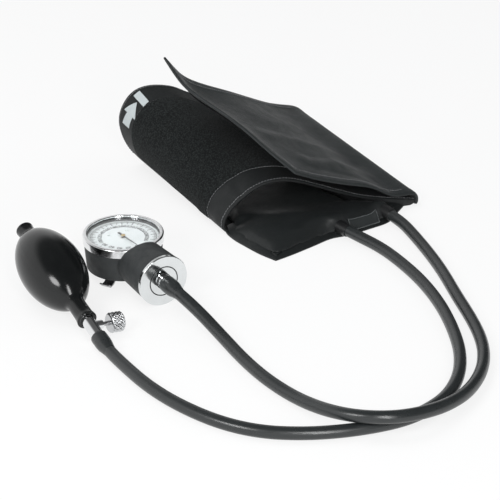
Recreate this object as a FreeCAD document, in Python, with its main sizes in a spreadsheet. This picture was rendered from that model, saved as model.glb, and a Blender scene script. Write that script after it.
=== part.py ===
import FreeCAD, Part
import math
import os

import Sketcher

# Aneroid sphygmomanometer: a dial gauge, a squeeze bulb with its release valve, and an arm cuff,
# joined by two rubber tubes. Millimetres, +Z up, standing on z = 0. The gauge, the bulb with its
# valve, and the cuff are each drawn in a frame of their own and then laid out on the table.

Vector = FreeCAD.Vector
Rotation = FreeCAD.Rotation
Placement = FreeCAD.Placement

doc = FreeCAD.newDocument("AneroidSphygmomanometer")
sheet = doc.addObject("Spreadsheet::Sheet", "Sizes")

SIZES = [
    # gauge: heights are above the table, distances along the neck are from the pointer's axis
    ("case_radius", 29.8, "outside of the gauge case"),
    ("case_underside", 7.1, "height of the case's underside"),
    ("case_floor", 2.0, "thickness of the case's floor"),
    ("case_wall", 3.6, "thickness of the case's side wall"),
    ("rim_height", 27.2, "height of the case's rim, where the bezel starts"),
    ("collar_radius", 28.9, "outside of the collar inside the bezel"),
    ("collar_bore", 27.5, "inside of the collar, round the dial"),
    ("collar_rise", 3.0, "collar above the rim"),
    ("dial_ledge", 0.8, "ledge that carries the dial, above the rim"),
    ("bezel_radius", 30.6, "outside of the bezel ring"),
    ("bezel_depth", 6.5, "height of the bezel ring"),
    ("bezel_opening", 27.4, "radius of the visible glass"),
    ("bezel_lip", 1.3, "thickness of the bezel's lip over the glass"),
    ("glass_thickness", 1.4, "crystal"),
    ("glass_radius", 28.8, "crystal"),
    ("dial_radius", 27.2, "dial plate"),
    ("dial_thickness", 0.5, "dial plate"),
    ("neck_root_radius", 18.0, "neck where it leaves the case"),
    ("neck_end_radius", 19.4, "neck at the end cap"),
    ("neck_start", 20.0, "where the neck's cone begins, inside the case"),
    ("neck_height", 19.8, "the neck's axis; a larger end cap lifts the whole gauge"),
    ("neck_end", 57.0, "end face of the neck"),
    ("neck_bore", 17.4, "bellows chamber inside the neck"),
    ("chamber_start", 33.0, "inner end of the bellows chamber"),
    ("window_radius", 7.0, "hole between the chamber and the case"),
    ("cap_radius", 19.8, "end cap, whose rim rests on the table"),
    ("cap_thickness", 2.8, "end cap disc"),
    ("cap_gasket_thickness", 0.5, "gasket under the end cap"),
    ("lock_ring_radius", 11.2, "ring that locks the nozzle in the cap"),
    ("lock_ring_thickness", 1.2, "lock ring"),
    ("nozzle_hub_radius", 5.2, "nozzle hub outside the cap"),
    ("nozzle_hub_length", 3.4, "nozzle hub in front of the cap"),
    ("barb_length", 10.0, "each hose barb"),
    ("barb_radius", 3.0, "root of each hose barb"),
    ("barb_ridge", 0.8, "ridges of each hose barb above its root"),
    ("air_bore", 1.5, "radius of the air passage through nozzles and barbs"),
    # gauge movement
    ("lever_arm", 4.0, "sector lever, from the sector's axis to the push pin"),
    ("push_travel", 2.0, "travel of the bellows and the push pin"),
    ("sector_x", 17.5, "sector axis along the neck, from the pointer's axis"),
    ("sector_y", -4.2131, "sector axis beside the neck's axis"),
    ("gear_module", 0.3, "module of the sector and the pinion"),
    ("gear_thickness", 0.8, "sector gear"),
    ("arbor_radius", 0.5, "pinion arbor"),
    ("shaft_radius", 0.75, "sector shaft"),
    ("running_gap", 0.05, "radial clearance of the shafts in their plates"),
    ("plate_thickness", 1.2, "movement plates"),
    ("lower_plate", 12.0, "height of the lower movement plate"),
    ("upper_plate", 25.0, "height of the upper movement plate"),
    ("bellows_radius", 14.0, "bellows"),
    ("bellows_front", 39.5, "free face of the bellows"),
    ("bellows_back", 52.6, "fixed face of the bellows"),
    ("pin_radius", 1.2, "push pin"),
    ("pointer_length", 19.6, "pointer from its axis to its tip"),
    ("pointer_height", 30.0, "height of the pointer"),
    # bulb and valve: distances along the axis are from the bulb's middle, positive to the valve
    ("bulb_radius", 23.7, "bulb at its fattest"),
    ("bulb_half_length", 42.8, "from the bulb's middle to where its ends would close"),
    ("bulb_wall", 2.3, "rubber wall"),
    ("sleeve_end", 61.6, "end of the rubber sleeve on the valve"),
    ("sleeve_radius", 6.5, "sleeve next to the bulb"),
    ("sleeve_flare", 0.7, "how much the sleeve widens to its end"),
    ("tail_end", 50.8, "end of the inlet collar"),
    ("tail_radius", 6.5, "inlet collar"),
    ("barrel_radius", 4.75, "valve barrel"),
    ("barrel_start", 46.5, "inner end of the valve barrel"),
    ("barrel_end", 80.1, "shoulder of the valve barrel"),
    ("knob_station", 68.0, "release screw's axis along the valve"),
    ("knob_radius", 7.25, "thumb knob"),
    ("knob_length", 10.4, "thumb knob"),
    ("knob_start", 13.9, "inner face of the knob from the valve's axis"),
    ("stem_radius", 1.6, "release screw"),
    ("gland_radius", 3.2, "threaded gland on the barrel"),
    ("gland_end", 8.6, "outer face of the gland from the valve's axis"),
    ("disc_radius", 2.5, "rubber check discs"),
    ("disc_thickness", 0.8, "rubber check discs"),
    ("disc_travel", 0.8, "lift of the check discs"),
    # cuff: across is along the near edge, depth is away from it
    ("near_depth", 32.9, "near edge of the outer wrap"),
    ("cuff_width", 145.0, "width of the cuff, along the arm"),
    ("fabric", 2.6, "thickness of the folded sleeve"),
    ("flap_thickness", 2.4, "thickness of the free flap"),
    ("pad_thickness", 0.8, "hook and loop pads"),
    ("border", 20.0, "plain border beside the loop pad"),
    ("pad_gap", 0.5, "between a hook or loop pad and the cloth it is sewn to"),
    ("soft_gap", 0.3, "clearance round soft pieces"),
    # tubes and layout
    ("tube_radius", 4.5, "rubber tubes"),
    ("port_radius", 6.0, "rubber ports of the bladder"),
    ("port_length", 16.0, "rubber ports of the bladder"),
]

for row, (alias, value, note) in enumerate(SIZES, start=1):
    sheet.set(f"A{row}", alias)
    sheet.set(f"B{row}", str(value))
    sheet.set(f"C{row}", note)
    sheet.setAlias(f"B{row}", alias)
doc.recompute()


class Dim:
    """A length that carries its number and the sheet expression that gives it."""

    def __init__(self, value, text):
        self.value = float(value)
        self.text = text

    def __add__(self, other):
        other = as_dim(other)
        return Dim(self.value + other.value, f"({self.text} + {other.text})")

    def __sub__(self, other):
        other = as_dim(other)
        return Dim(self.value - other.value, f"({self.text} - {other.text})")

    def __mul__(self, other):
        other = as_dim(other)
        return Dim(self.value * other.value, f"({self.text} * {other.text})")

    def __truediv__(self, other):
        other = as_dim(other)
        return Dim(self.value / other.value, f"({self.text} / {other.text})")

    def __radd__(self, other):
        return as_dim(other) + self

    def __rsub__(self, other):
        return as_dim(other) - self

    def __rmul__(self, other):
        return as_dim(other) * self

    def __neg__(self):
        return Dim(-self.value, f"(-{self.text})")

    def __float__(self):
        return self.value


def as_dim(thing):
    return thing if isinstance(thing, Dim) else Dim(thing, repr(float(thing)))


class Sizes:
    """The sheet's cells by name."""


d = Sizes()
for alias, value, note in SIZES:
    setattr(d, alias, Dim(sheet.get(alias), f"Sizes.{alias}"))


# ---------------------------------------------------------------- building helpers

nodes = []


def keep(thing, name, frame, at=None):
    """Names a finished sub-part and notes its assembly frame and its place in that frame."""
    thing.Label = name
    nodes.append((thing, name, frame, at or Placement(thing.Placement)))
    return thing


def bind(thing, **lengths):
    """Ties properties of an object to the sheet."""
    for prop, length in lengths.items():
        length = as_dim(length)
        setattr(thing, prop, length.value)
        thing.setExpression(prop, length.text)
    return thing


def origin_plane(body, role):
    return next(feature for feature in body.Origin.OriginFeatures if feature.Role == role)


def draw_outline(sketch, points):
    """A closed outline of straight lines whose corners are tied to the sheet."""
    corners = [(as_dim(x), as_dim(y)) for x, y in points]
    count = len(corners)
    first = sketch.GeometryCount
    for index in range(count):
        here = corners[index]
        after = corners[(index + 1) % count]
        line = Part.LineSegment(Vector(here[0].value, here[1].value, 0),
                                Vector(after[0].value, after[1].value, 0))
        sketch.addGeometry(line, False)
    for index in range(count):
        after = first + (index + 1) % count
        sketch.addConstraint(Sketcher.Constraint("Coincident", first + index, 2, after, 1))
    for index, (x, y) in enumerate(corners):
        for kind, length in (("DistanceX", x), ("DistanceY", y)):
            number = sketch.addConstraint(
                Sketcher.Constraint(kind, -1, 1, first + index, 1, length.value))
            if "Sizes" in length.text:
                sketch.setExpression(f"Constraints[{number}]", length.text)


def draw_circle(sketch, x, y, radius):
    """A circle whose centre and radius are tied to the sheet."""
    x, y, radius = as_dim(x), as_dim(y), as_dim(radius)
    circle = Part.Circle(Vector(x.value, y.value, 0), Vector(0, 0, 1), radius.value)
    number = sketch.addGeometry(circle, False)
    for kind, length in (("DistanceX", x), ("DistanceY", y)):
        constraint = sketch.addConstraint(Sketcher.Constraint(kind, -1, 1, number, 3, length.value))
        if "Sizes" in length.text:
            sketch.setExpression(f"Constraints[{constraint}]", length.text)
    constraint = sketch.addConstraint(Sketcher.Constraint("Radius", number, radius.value))
    sketch.setExpression(f"Constraints[{constraint}]", radius.text)


def new_sketch(body, name, role, rise=0):
    """A sketch on one of the body's own planes, lifted along the plane's normal."""
    sketch = body.newObject("Sketcher::SketchObject", name)
    sketch.AttachmentSupport = [(origin_plane(body, role), "")]
    sketch.MapMode = "FlatFace"
    rise = as_dim(rise)
    sketch.AttachmentOffset = Placement(Vector(0, 0, rise.value), Rotation())
    if "Sizes" in rise.text:
        sketch.setExpression("AttachmentOffset.Base.z", rise.text)
    return sketch


def turned(name, outline):
    """A body turned about its own Z axis from an outline of (radius, height) corners."""
    body = doc.addObject("PartDesign::Body", name)
    sketch = new_sketch(body, name + "_outline", "XZ_Plane")
    draw_outline(sketch, outline)
    revolution = body.newObject("PartDesign::Revolution", name + "_turned")
    revolution.Profile = sketch
    revolution.ReferenceAxis = (sketch, ["V_Axis"])
    revolution.Angle = 360
    doc.recompute()
    return body


def pad(body, name, outline, rise, thickness):
    """A plate of the given outline added to a body, upwards from a height."""
    sketch = new_sketch(body, name + "_outline", "XY_Plane", rise)
    draw_outline(sketch, outline)
    feature = body.newObject("PartDesign::Pad", name)
    feature.Profile = sketch
    bind(feature, Length=thickness)
    doc.recompute()
    return feature


def round_pad(body, name, centres, radius, rise, thickness):
    """Round bosses added to a body at several centres."""
    sketch = new_sketch(body, name + "_circles", "XY_Plane", rise)
    for x, y in centres:
        draw_circle(sketch, x, y, radius)
    feature = body.newObject("PartDesign::Pad", name)
    feature.Profile = sketch
    bind(feature, Length=thickness)
    doc.recompute()
    return feature


def drill(body, name, holes, rise, depth):
    """Round holes (x, y, radius) cut downwards from a height; the loss of volume is checked."""
    before = body.Shape.Volume
    sketch = new_sketch(body, name + "_circles", "XY_Plane", rise)
    for x, y, radius in holes:
        draw_circle(sketch, x, y, radius)
    feature = body.newObject("PartDesign::Pocket", name)
    feature.Profile = sketch
    bind(feature, Length=depth)
    doc.recompute()
    if not body.Shape.Volume < before - 1e-6:
        raise RuntimeError(f"{name} cut nothing")
    return feature


def pad_cut(body, name, outline, rise, depth):
    """A pocket of the given outline, cut downwards from a height; its loss of volume is checked."""
    before = body.Shape.Volume
    sketch = new_sketch(body, name + "_outline", "XY_Plane", rise)
    draw_outline(sketch, outline)
    feature = body.newObject("PartDesign::Pocket", name)
    feature.Profile = sketch
    bind(feature, Length=depth)
    doc.recompute()
    if not body.Shape.Volume < before - 1e-6:
        raise RuntimeError(f"{name} cut nothing")
    return feature


def repeat_around(body, name, features, count, angle=360):
    """A pattern of features about the body's Z axis, counted in once it is the body's tip."""
    pattern = body.newObject("PartDesign::PolarPattern", name)
    pattern.Originals = features
    pattern.Axis = (origin_plane(body, "Z_Axis"), [""])
    pattern.Angle = angle
    pattern.Occurrences = count
    body.Tip = pattern
    doc.recompute()
    return pattern


def soften(body, name, radius, wanted):
    """A fillet on the body's edges that pass a test, which is given each edge."""
    tip = body.Tip
    edges = [f"Edge{i}" for i, edge in enumerate(tip.Shape.Edges, start=1) if wanted(edge)]
    if not edges:
        raise RuntimeError(f"{name} found no edge")
    fillet = body.newObject("PartDesign::Fillet", name)
    fillet.Base = (tip, edges)
    bind(fillet, Radius=radius)
    doc.recompute()
    return fillet


def ring_edge(radius, height):
    """Picks the circular edges of a turned body at one radius and height."""
    radius, height = float(radius), float(height)

    def wanted(edge):
        if not isinstance(edge.Curve, Part.Circle):
            return False
        same_radius = abs(edge.Curve.Radius - radius) < 1e-4
        return same_radius and abs(edge.Curve.Center.z - height) < 1e-4
    return wanted


def primitive(kind, name, at=Placement(), **lengths):
    """A Part primitive tied to the sheet."""
    thing = doc.addObject("Part::" + kind, name)
    bind(thing, **lengths)
    thing.Placement = at
    return thing


def cut(name, base, tools):
    """Base less each tool in turn."""
    for index, tool in enumerate(tools):
        difference = doc.addObject("Part::Cut", name if index == len(tools) - 1 else f"{name}_{index}")
        difference.Base = base
        difference.Tool = tool
        base = difference
    return base


def fuse(name, shapes):
    union = doc.addObject("Part::MultiFuse", name)
    union.Shapes = shapes
    return union


def solid_feature(name, shape):
    """A sub-part whose surface is free-form."""
    feature = doc.addObject("Part::Feature", name)
    feature.Shape = shape
    return feature


def shift(x=0, y=0, z=0, turn=Rotation()):
    return Placement(Vector(float(x), float(y), float(z)), turn)


ALONG_X = Rotation(Vector(0, 1, 0), 90)      # turns a body's own +Z to +X
AGAINST_X = Rotation(Vector(0, 1, 0), -90)   # turns a body's own +Z to -X
ALONG_Y = Rotation(Vector(1, 0, 0), -90)     # turns a body's own +Z to +Y


# ---------------------------------------------------------------- gauge case and window

neck_height = d.neck_height
bezel_top = d.rim_height + d.bezel_depth
glass_top = bezel_top - d.bezel_lip
glass_bottom = glass_top - d.glass_thickness
collar_top = d.rim_height + d.collar_rise
dial_bottom = d.rim_height + d.dial_ledge
dial_top = dial_bottom + d.dial_thickness
cavity_floor = d.case_underside + d.case_floor
cavity_radius = d.case_radius - d.case_wall
cap_back = d.neck_end + d.cap_gasket_thickness
cap_front = cap_back + d.cap_thickness


def gauge_case():
    """A cup for the movement with a stout neck for the bellows, moulded in one."""
    draft = 1.4
    cup = primitive("Cone", "case_cup", shift(z=d.case_underside), Radius1=d.case_radius - draft,
                    Radius2=d.case_radius, Height=d.rim_height - d.case_underside)
    collar = primitive("Cylinder", "case_collar", shift(z=d.rim_height), Radius=d.collar_radius,
                       Height=d.collar_rise)
    neck = primitive("Cone", "case_neck", shift(d.neck_start, 0, neck_height, ALONG_X),
                     Radius1=d.neck_root_radius, Radius2=d.neck_end_radius,
                     Height=d.neck_end - d.neck_start)
    room = primitive("Cylinder", "bezel_room", shift(z=d.rim_height),
                     Radius=d.bezel_radius + 0.4, Height=30)
    outside = fuse("case_outside", [cup, cut("case_neck_trimmed", neck, [room]), collar])
    cavity = primitive("Cylinder", "case_cavity", shift(z=cavity_floor), Radius=cavity_radius,
                       Height=dial_bottom - cavity_floor)
    dial_room = primitive("Cylinder", "case_dial_room", shift(z=dial_bottom), Radius=d.collar_bore,
                          Height=d.collar_rise)
    chamber = primitive("Cylinder", "case_chamber", shift(d.chamber_start, 0, neck_height, ALONG_X),
                        Radius=d.neck_bore, Height=d.neck_end - d.chamber_start + 1)
    window = primitive("Cylinder", "case_window", shift(d.neck_start, 0, neck_height, ALONG_X),
                       Radius=d.window_radius, Height=d.chamber_start - d.neck_start + 1)
    tools = [cavity, dial_room, chamber, window] + clip_screw_bores()
    keep(cut("gauge_case_body", outside, tools), "gauge_case", "gauge")


def bezel_and_glass():
    bezel = turned("bezel_ring_body", [
        (d.collar_radius + 0.1, d.rim_height),
        (d.bezel_radius, d.rim_height),
        (d.bezel_radius, bezel_top),
        (d.bezel_opening, bezel_top),
        (d.bezel_opening, glass_top),
        (d.collar_radius + 0.1, glass_top),
    ])
    soften(bezel, "bezel_round", 1.1, ring_edge(d.bezel_radius, bezel_top))
    soften(bezel, "bezel_inner_round", 0.5, ring_edge(d.bezel_opening, bezel_top))
    keep(bezel, "bezel_ring", "gauge")
    keep(primitive("Cylinder", "crystal_disc", shift(z=glass_bottom), Radius=d.glass_radius,
                   Height=d.glass_thickness), "crystal", "gauge")
    gasket = turned("crystal_gasket_body", [
        (d.collar_bore, collar_top),
        (d.collar_radius, collar_top),
        (d.collar_radius, glass_bottom),
        (d.collar_bore, glass_bottom),
    ])
    keep(gasket, "crystal_gasket", "gauge")


PILLARS_LEFT = [(-8.5, 7.5), (-8.5, -7.5)]      # these carry the dial screws too
PILLARS_RIGHT = [(21.0, 7.0), (21.0, -7.0)]     # these take the bridge screws
DIAL_SCREW_RADIUS = 0.7
BRIDGE_SCREW_RADIUS = 0.8
SCREW_HEAD = 0.7                                # head wider than its shank by this much
pivot_hole_depth = d.plate_thickness * 0.65


def copies_at(name, pattern, places, frame):
    """Several copies of one small piece, kept together as one sub-part."""
    links = []
    for index, place in enumerate(places):
        link = doc.addObject("App::Link", f"{name}_{index}")
        link.LinkedObject = pattern
        link.Placement = place
        links.append(link)
    group = doc.addObject("Part::Compound", name + "_group")
    group.Links = links
    return keep(group, name, frame)


def screw(name, shank_radius, shank_bottom, head_bottom, head_height):
    """A slotted cheese-head screw on its own axis."""
    body = doc.addObject("PartDesign::Body", name)
    head_radius = shank_radius + SCREW_HEAD
    round_pad(body, name + "_head", [(0, 0)], head_radius, head_bottom, head_height)
    round_pad(body, name + "_shank", [(0, 0)], shank_radius, shank_bottom, head_bottom - shank_bottom)
    reach = float(head_radius) + 0.2
    pad_cut(body, name + "_slot", [(-reach, -0.16), (reach, -0.16), (reach, 0.16), (-reach, 0.16)],
            head_bottom + head_height, 0.3)
    return body


def dial_and_screws():
    dial = turned("dial_plate_body", [
        (1.6, dial_bottom), (d.dial_radius, dial_bottom), (d.dial_radius, dial_top), (1.6, dial_top)])
    drill(dial, "dial_screw_holes", [(x, y, DIAL_SCREW_RADIUS) for x, y in PILLARS_LEFT],
          dial_top, d.dial_thickness)
    keep(dial, "dial_plate", "gauge")
    pattern = screw("dial_screw", DIAL_SCREW_RADIUS, d.upper_plate, dial_top, 0.5)
    copies_at("dial_screws", pattern, [shift(x, y) for x, y in PILLARS_LEFT], "gauge")


# ---------------------------------------------------------------- gauge movement

SECTOR_TEETH_IN_CIRCLE = 110
PINION_TEETH = 10
SECTOR_TEETH = 13           # teeth really cut on the sector
SECTOR_FIRST = 10           # the tooth that meets the pinion at rest
TOOTH_ADDENDUM = 0.85       # tooth sizes in modules
TOOTH_DEDENDUM = 1.2
TOOTH_WIDTHS = (1.5, 1.15, 0.5)   # at the root, on the pitch circle, at the tip

sector_pitch_radius = d.gear_module * (SECTOR_TEETH_IN_CIRCLE / 2)
pinion_pitch_radius = d.gear_module * (PINION_TEETH / 2)
tooth_step = 360 / SECTOR_TEETH_IN_CIRCLE
gear_bottom = neck_height - d.gear_thickness / 2
gear_top = neck_height + d.gear_thickness / 2
swing = math.degrees(float(d.push_travel) / float(d.lever_arm))
contact_angle = math.degrees(math.atan2(-float(d.sector_y), -float(d.sector_x)))
sector_turn = contact_angle - SECTOR_FIRST * tooth_step
lever_angle = 90 - swing / 2
LEVER_POST = 0.6            # radius of the round post that the push pin touches
LEVER_GAP = 0.04            # between the post and the push pin


def polar(radius, degrees):
    """A point of an outline at an angle on a circle tied to the sheet."""
    return (radius * math.cos(math.radians(degrees)), radius * math.sin(math.radians(degrees)))


def tooth_outline(pitch_radius):
    """One tooth pointing along +X."""
    root = pitch_radius - d.gear_module * TOOTH_DEDENDUM
    tip = pitch_radius + d.gear_module * TOOTH_ADDENDUM
    half = [d.gear_module * (width / 2) for width in TOOTH_WIDTHS]
    sunk = root - 0.06
    return [(sunk, -half[0]), (root, -half[0]), (pitch_radius, -half[1]), (tip, -half[2]),
            (tip, half[2]), (pitch_radius, half[1]), (root, half[0]), (sunk, half[0])]


def sector_gear():
    """A toothed sector on a hub, with the short lever that the push pin moves."""
    body = doc.addObject("PartDesign::Body", "sector_gear_body")
    rim = sector_pitch_radius - d.gear_module * TOOTH_DEDENDUM
    spread = (SECTOR_TEETH - 1) * tooth_step
    ends = (-1.8, spread + 1.8)
    arc = [polar(rim, ends[0] + (ends[1] - ends[0]) * step / 10) for step in range(11)]
    pad(body, "sector_web", [polar(as_dim(1.5), ends[0])] + arc + [polar(as_dim(1.5), ends[1])],
        gear_bottom, d.gear_thickness)
    inner = [polar(rim - 2.4, ends[0] + 6 + (spread - 8) * step / 5) for step in range(6)]
    pad_cut(body, "sector_opening", [polar(as_dim(6.0), spread / 2)] + inner, gear_top,
            d.gear_thickness)
    tooth = pad(body, "sector_tooth", tooth_outline(sector_pitch_radius), gear_bottom,
                d.gear_thickness)
    repeat_around(body, "sector_teeth", [tooth], SECTOR_TEETH, spread)
    round_pad(body, "sector_hub", [(0, 0)], 2.3, gear_bottom - 0.7, d.gear_thickness + 1.4)
    local = lever_angle - sector_turn
    tip = polar(d.lever_arm, local)
    side = polar(as_dim(0.4), local + 90)
    pad(body, "sector_lever", [(side[0], side[1]), (-side[0], -side[1]),
                               (tip[0] - side[0], tip[1] - side[1]),
                               (tip[0] + side[0], tip[1] + side[1])], gear_bottom, d.gear_thickness)
    round_pad(body, "sector_post", [tip], LEVER_POST, gear_bottom - 0.4, d.gear_thickness + 0.8)
    drill(body, "sector_bore", [(0, 0, d.shaft_radius)], gear_top + 2, d.gear_thickness + 4)
    turn = Rotation(Vector(0, 0, 1), sector_turn)
    keep(body, "sector_gear", "gauge", shift(d.sector_x, d.sector_y, 0, turn))
    bottom = d.lower_plate + d.plate_thickness - pivot_hole_depth + 0.05
    top = d.upper_plate + d.plate_thickness - 0.2
    keep(primitive("Cylinder", "sector_shaft_rod", shift(d.sector_x, d.sector_y, bottom),
                   Radius=d.shaft_radius, Height=top - bottom), "sector_shaft", "gauge")


def pinion_arbor():
    """The pointer's arbor with its pinion and the collet of the hairspring."""
    root = pinion_pitch_radius - d.gear_module * TOOTH_DEDENDUM
    bottom = d.lower_plate + d.plate_thickness - pivot_hole_depth + 0.05
    body = turned("pinion_arbor_body", [
        (0, bottom), (d.arbor_radius, bottom), (d.arbor_radius, gear_bottom - 0.5),
        (root, gear_bottom - 0.5), (root, gear_top + 0.5), (d.arbor_radius, gear_top + 0.5),
        (d.arbor_radius, d.upper_plate - 2.9), (1.0, d.upper_plate - 2.9),
        (1.0, d.upper_plate - 1.5), (d.arbor_radius, d.upper_plate - 1.5),
        (d.arbor_radius, d.pointer_height + 0.4), (0, d.pointer_height + 0.4)])
    tooth = pad(body, "pinion_tooth", tooth_outline(pinion_pitch_radius), gear_bottom - 0.2,
                d.gear_thickness + 0.4)
    repeat_around(body, "pinion_teeth", [tooth], PINION_TEETH)
    half_step = 180 / PINION_TEETH
    turn = Rotation(Vector(0, 0, 1), contact_angle + 180 + half_step)
    keep(body, "pinion_arbor", "gauge", shift(turn=turn))


HAIRSPRING_INNER = 1.15
HAIRSPRING_OUTER = 5.4
HAIRSPRING_TURNS = 5
HAIRSPRING_STRIP = 0.12


def hairspring():
    """A flat spiral strip round the arbor that takes up the backlash."""
    def edge_curve(offset):
        points = []
        for step in range(HAIRSPRING_TURNS * 16 + 1):
            share = step / (HAIRSPRING_TURNS * 16)
            radius = HAIRSPRING_INNER + (HAIRSPRING_OUTER - HAIRSPRING_INNER) * share + offset
            angle = 2 * math.pi * HAIRSPRING_TURNS * share
            points.append(Vector(radius * math.cos(angle), radius * math.sin(angle), 0))
        curve = Part.BSplineCurve()
        curve.interpolate(points)
        return curve.toShape()
    inner = edge_curve(0)
    outer = edge_curve(HAIRSPRING_STRIP)
    ends = [Part.LineSegment(inner.Vertexes[i].Point, outer.Vertexes[i].Point).toShape()
            for i in (0, -1)]
    wire = Part.Wire(Part.__sortEdges__([inner, outer] + ends))
    strip = Part.Face(wire).extrude(Vector(0, 0, 0.6))
    keep(solid_feature("hairspring_strip", strip), "hairspring", "gauge",
         shift(z=d.upper_plate - 2.5))


def movement_plates():
    """Two plates on pillars that carry the sector shaft and the arbor."""
    outline = [(-11, -10), (20, -10), (24, -6), (24, 6), (20, 10), (-11, 10)]
    frame = doc.addObject("PartDesign::Body", "movement_frame_body")
    pad(frame, "lower_plate", outline, d.lower_plate, d.plate_thickness)
    pillars = PILLARS_LEFT + PILLARS_RIGHT
    round_pad(frame, "frame_feet", pillars, 2.2, cavity_floor, d.lower_plate - cavity_floor)
    round_pad(frame, "frame_pillars", pillars, 1.4, d.lower_plate + d.plate_thickness,
              d.upper_plate - d.lower_plate - d.plate_thickness)
    drill(frame, "frame_pivots", [(0, 0, d.arbor_radius + d.running_gap),
                                  (d.sector_x, d.sector_y, d.shaft_radius + d.running_gap)],
          d.lower_plate + d.plate_thickness, pivot_hole_depth)
    drill(frame, "frame_screw_holes", [(x, y, BRIDGE_SCREW_RADIUS) for x, y in PILLARS_RIGHT],
          d.upper_plate, 4)
    keep(frame, "movement_frame", "gauge")

    bridge = doc.addObject("PartDesign::Body", "movement_bridge_body")
    bridge_top = d.upper_plate + d.plate_thickness
    pad(bridge, "upper_plate", outline, d.upper_plate, d.plate_thickness)
    round_pad(bridge, "dial_feet", PILLARS_LEFT, 1.5, bridge_top, dial_bottom - bridge_top)
    stud = HAIRSPRING_OUTER + HAIRSPRING_STRIP + 0.5
    round_pad(bridge, "hairspring_stud", [(stud, 0)], 0.5, d.upper_plate - 2.7, 2.7)
    drill(bridge, "bridge_pivots", [(0, 0, d.arbor_radius + d.running_gap),
                                    (d.sector_x, d.sector_y, d.shaft_radius + d.running_gap)],
          bridge_top, d.plate_thickness)
    drill(bridge, "dial_screw_bores", [(x, y, DIAL_SCREW_RADIUS) for x, y in PILLARS_LEFT],
          dial_bottom, dial_bottom - d.upper_plate)
    drill(bridge, "bridge_screw_bores", [(x, y, BRIDGE_SCREW_RADIUS) for x, y in PILLARS_RIGHT],
          bridge_top, d.plate_thickness)
    keep(bridge, "movement_bridge", "gauge")
    pattern = screw("bridge_screw", BRIDGE_SCREW_RADIUS, d.upper_plate - 3.8, bridge_top, 0.8)
    copies_at("bridge_screws", pattern, [shift(x, y) for x, y in PILLARS_RIGHT], "gauge")


ZERO_ANGLE = 5.0            # where the pointer rests, from the neck's axis


def pointer():
    needle = doc.addObject("PartDesign::Body", "pointer_needle_body")
    bottom = d.pointer_height - 0.3
    pad(needle, "needle_blade", [(-6.5, -0.9), (-5.5, -0.9), (0, -0.55), (d.pointer_length - 2, -0.25),
                                 (d.pointer_length, 0), (d.pointer_length - 2, 0.25), (0, 0.55),
                                 (-5.5, 0.9), (-6.5, 0.9)], bottom, 0.3)
    round_pad(needle, "needle_boss", [(0, 0)], 1.3, bottom, 0.3)
    drill(needle, "needle_bore", [(0, 0, d.arbor_radius)], d.pointer_height, 0.4)
    keep(needle, "pointer_needle", "gauge", shift(turn=Rotation(Vector(0, 0, 1), ZERO_ANGLE)))
    top = d.pointer_height + 0.7
    hub = turned("pointer_hub_body", [
        (0, d.pointer_height + 0.4), (d.arbor_radius, d.pointer_height + 0.4),
        (d.arbor_radius, d.pointer_height), (1.6, d.pointer_height), (1.6, top - 0.25),
        (1.35, top), (0, top)])
    keep(hub, "pointer_hub", "gauge")


# ---------------------------------------------------------------- bellows, push pin and end cap

BELLOWS_FOLDS = 5
BELLOWS_SHEET = 0.5
plug_depth = as_dim(2.0)


def bellows():
    """A metal bellows whose closed face moves along the neck as the pressure rises."""
    length = d.bellows_back - d.bellows_front
    step = length / BELLOWS_FOLDS
    outer = []
    for fold in range(BELLOWS_FOLDS):
        outer.append((d.bellows_radius - 2.6, step * fold))
        outer.append((d.bellows_radius, step * (fold + 0.5)))
    outer.append((d.bellows_radius - 2.6, length))
    inner = [(radius - BELLOWS_SHEET, height) for radius, height in reversed(outer[1:])]
    inner.append((d.bellows_radius - 2.6 - BELLOWS_SHEET, as_dim(BELLOWS_SHEET)))
    body = turned("bellows_body", [(0, 0)] + outer + inner + [(0, BELLOWS_SHEET)])
    keep(body, "bellows", "gauge", shift(d.bellows_front, 0, neck_height, ALONG_X))
    plate = turned("bellows_plate_body", [
        (1.5, 0), (d.neck_bore - 0.2, 0), (d.neck_bore - 0.2, cap_back - plug_depth - d.bellows_back),
        (1.5, cap_back - plug_depth - d.bellows_back)])
    keep(plate, "bellows_plate", "gauge", shift(d.bellows_back, 0, neck_height, ALONG_X))


def push_pin():
    """The plate on the bellows with the rod that reaches to the sector's lever."""
    back = float(d.bellows_front - d.soft_gap)
    nose_end = float(d.sector_x) + float(d.lever_arm) * math.cos(math.radians(lever_angle))
    nose_end += LEVER_POST + LEVER_GAP
    length = back - nose_end
    body = turned("push_pin_body", [
        (0, 0), (5, 0), (5, 1.2), (d.pin_radius, 1.6), (d.pin_radius, length - 2),
        (0.6, length - 1.4), (0.6, length), (0, length)])
    keep(body, "push_pin", "gauge", shift(back, 0, neck_height, AGAINST_X))
    guide = turned("pin_guide_body", [
        (d.pin_radius + d.running_gap, 0), (d.window_radius, 0), (d.window_radius, 3),
        (d.pin_radius + d.running_gap, 3)])
    keep(guide, "pin_guide", "gauge", shift(28, 0, neck_height, ALONG_X))


FLANGE_RADIUS = 8.0
FLANGE_THICKNESS = 1.3
LOCK_GROOVE = 0.35          # the groove that shows round the lock ring


def barb(start, length):
    """Outline corners of a hose barb with three ridges, from its shoulder to its tip."""
    corners = [(d.barb_radius, start)]
    step = length / 3.3
    for ridge in range(3):
        corners.append((d.barb_radius, start + step * (ridge + 0.15)))
        corners.append((d.barb_radius + d.barb_ridge, start + step * (ridge + 0.3)))
        corners.append((d.barb_radius, start + step * (ridge + 0.95)))
    corners.append((d.barb_radius - 0.4, start + length))
    return corners


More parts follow.
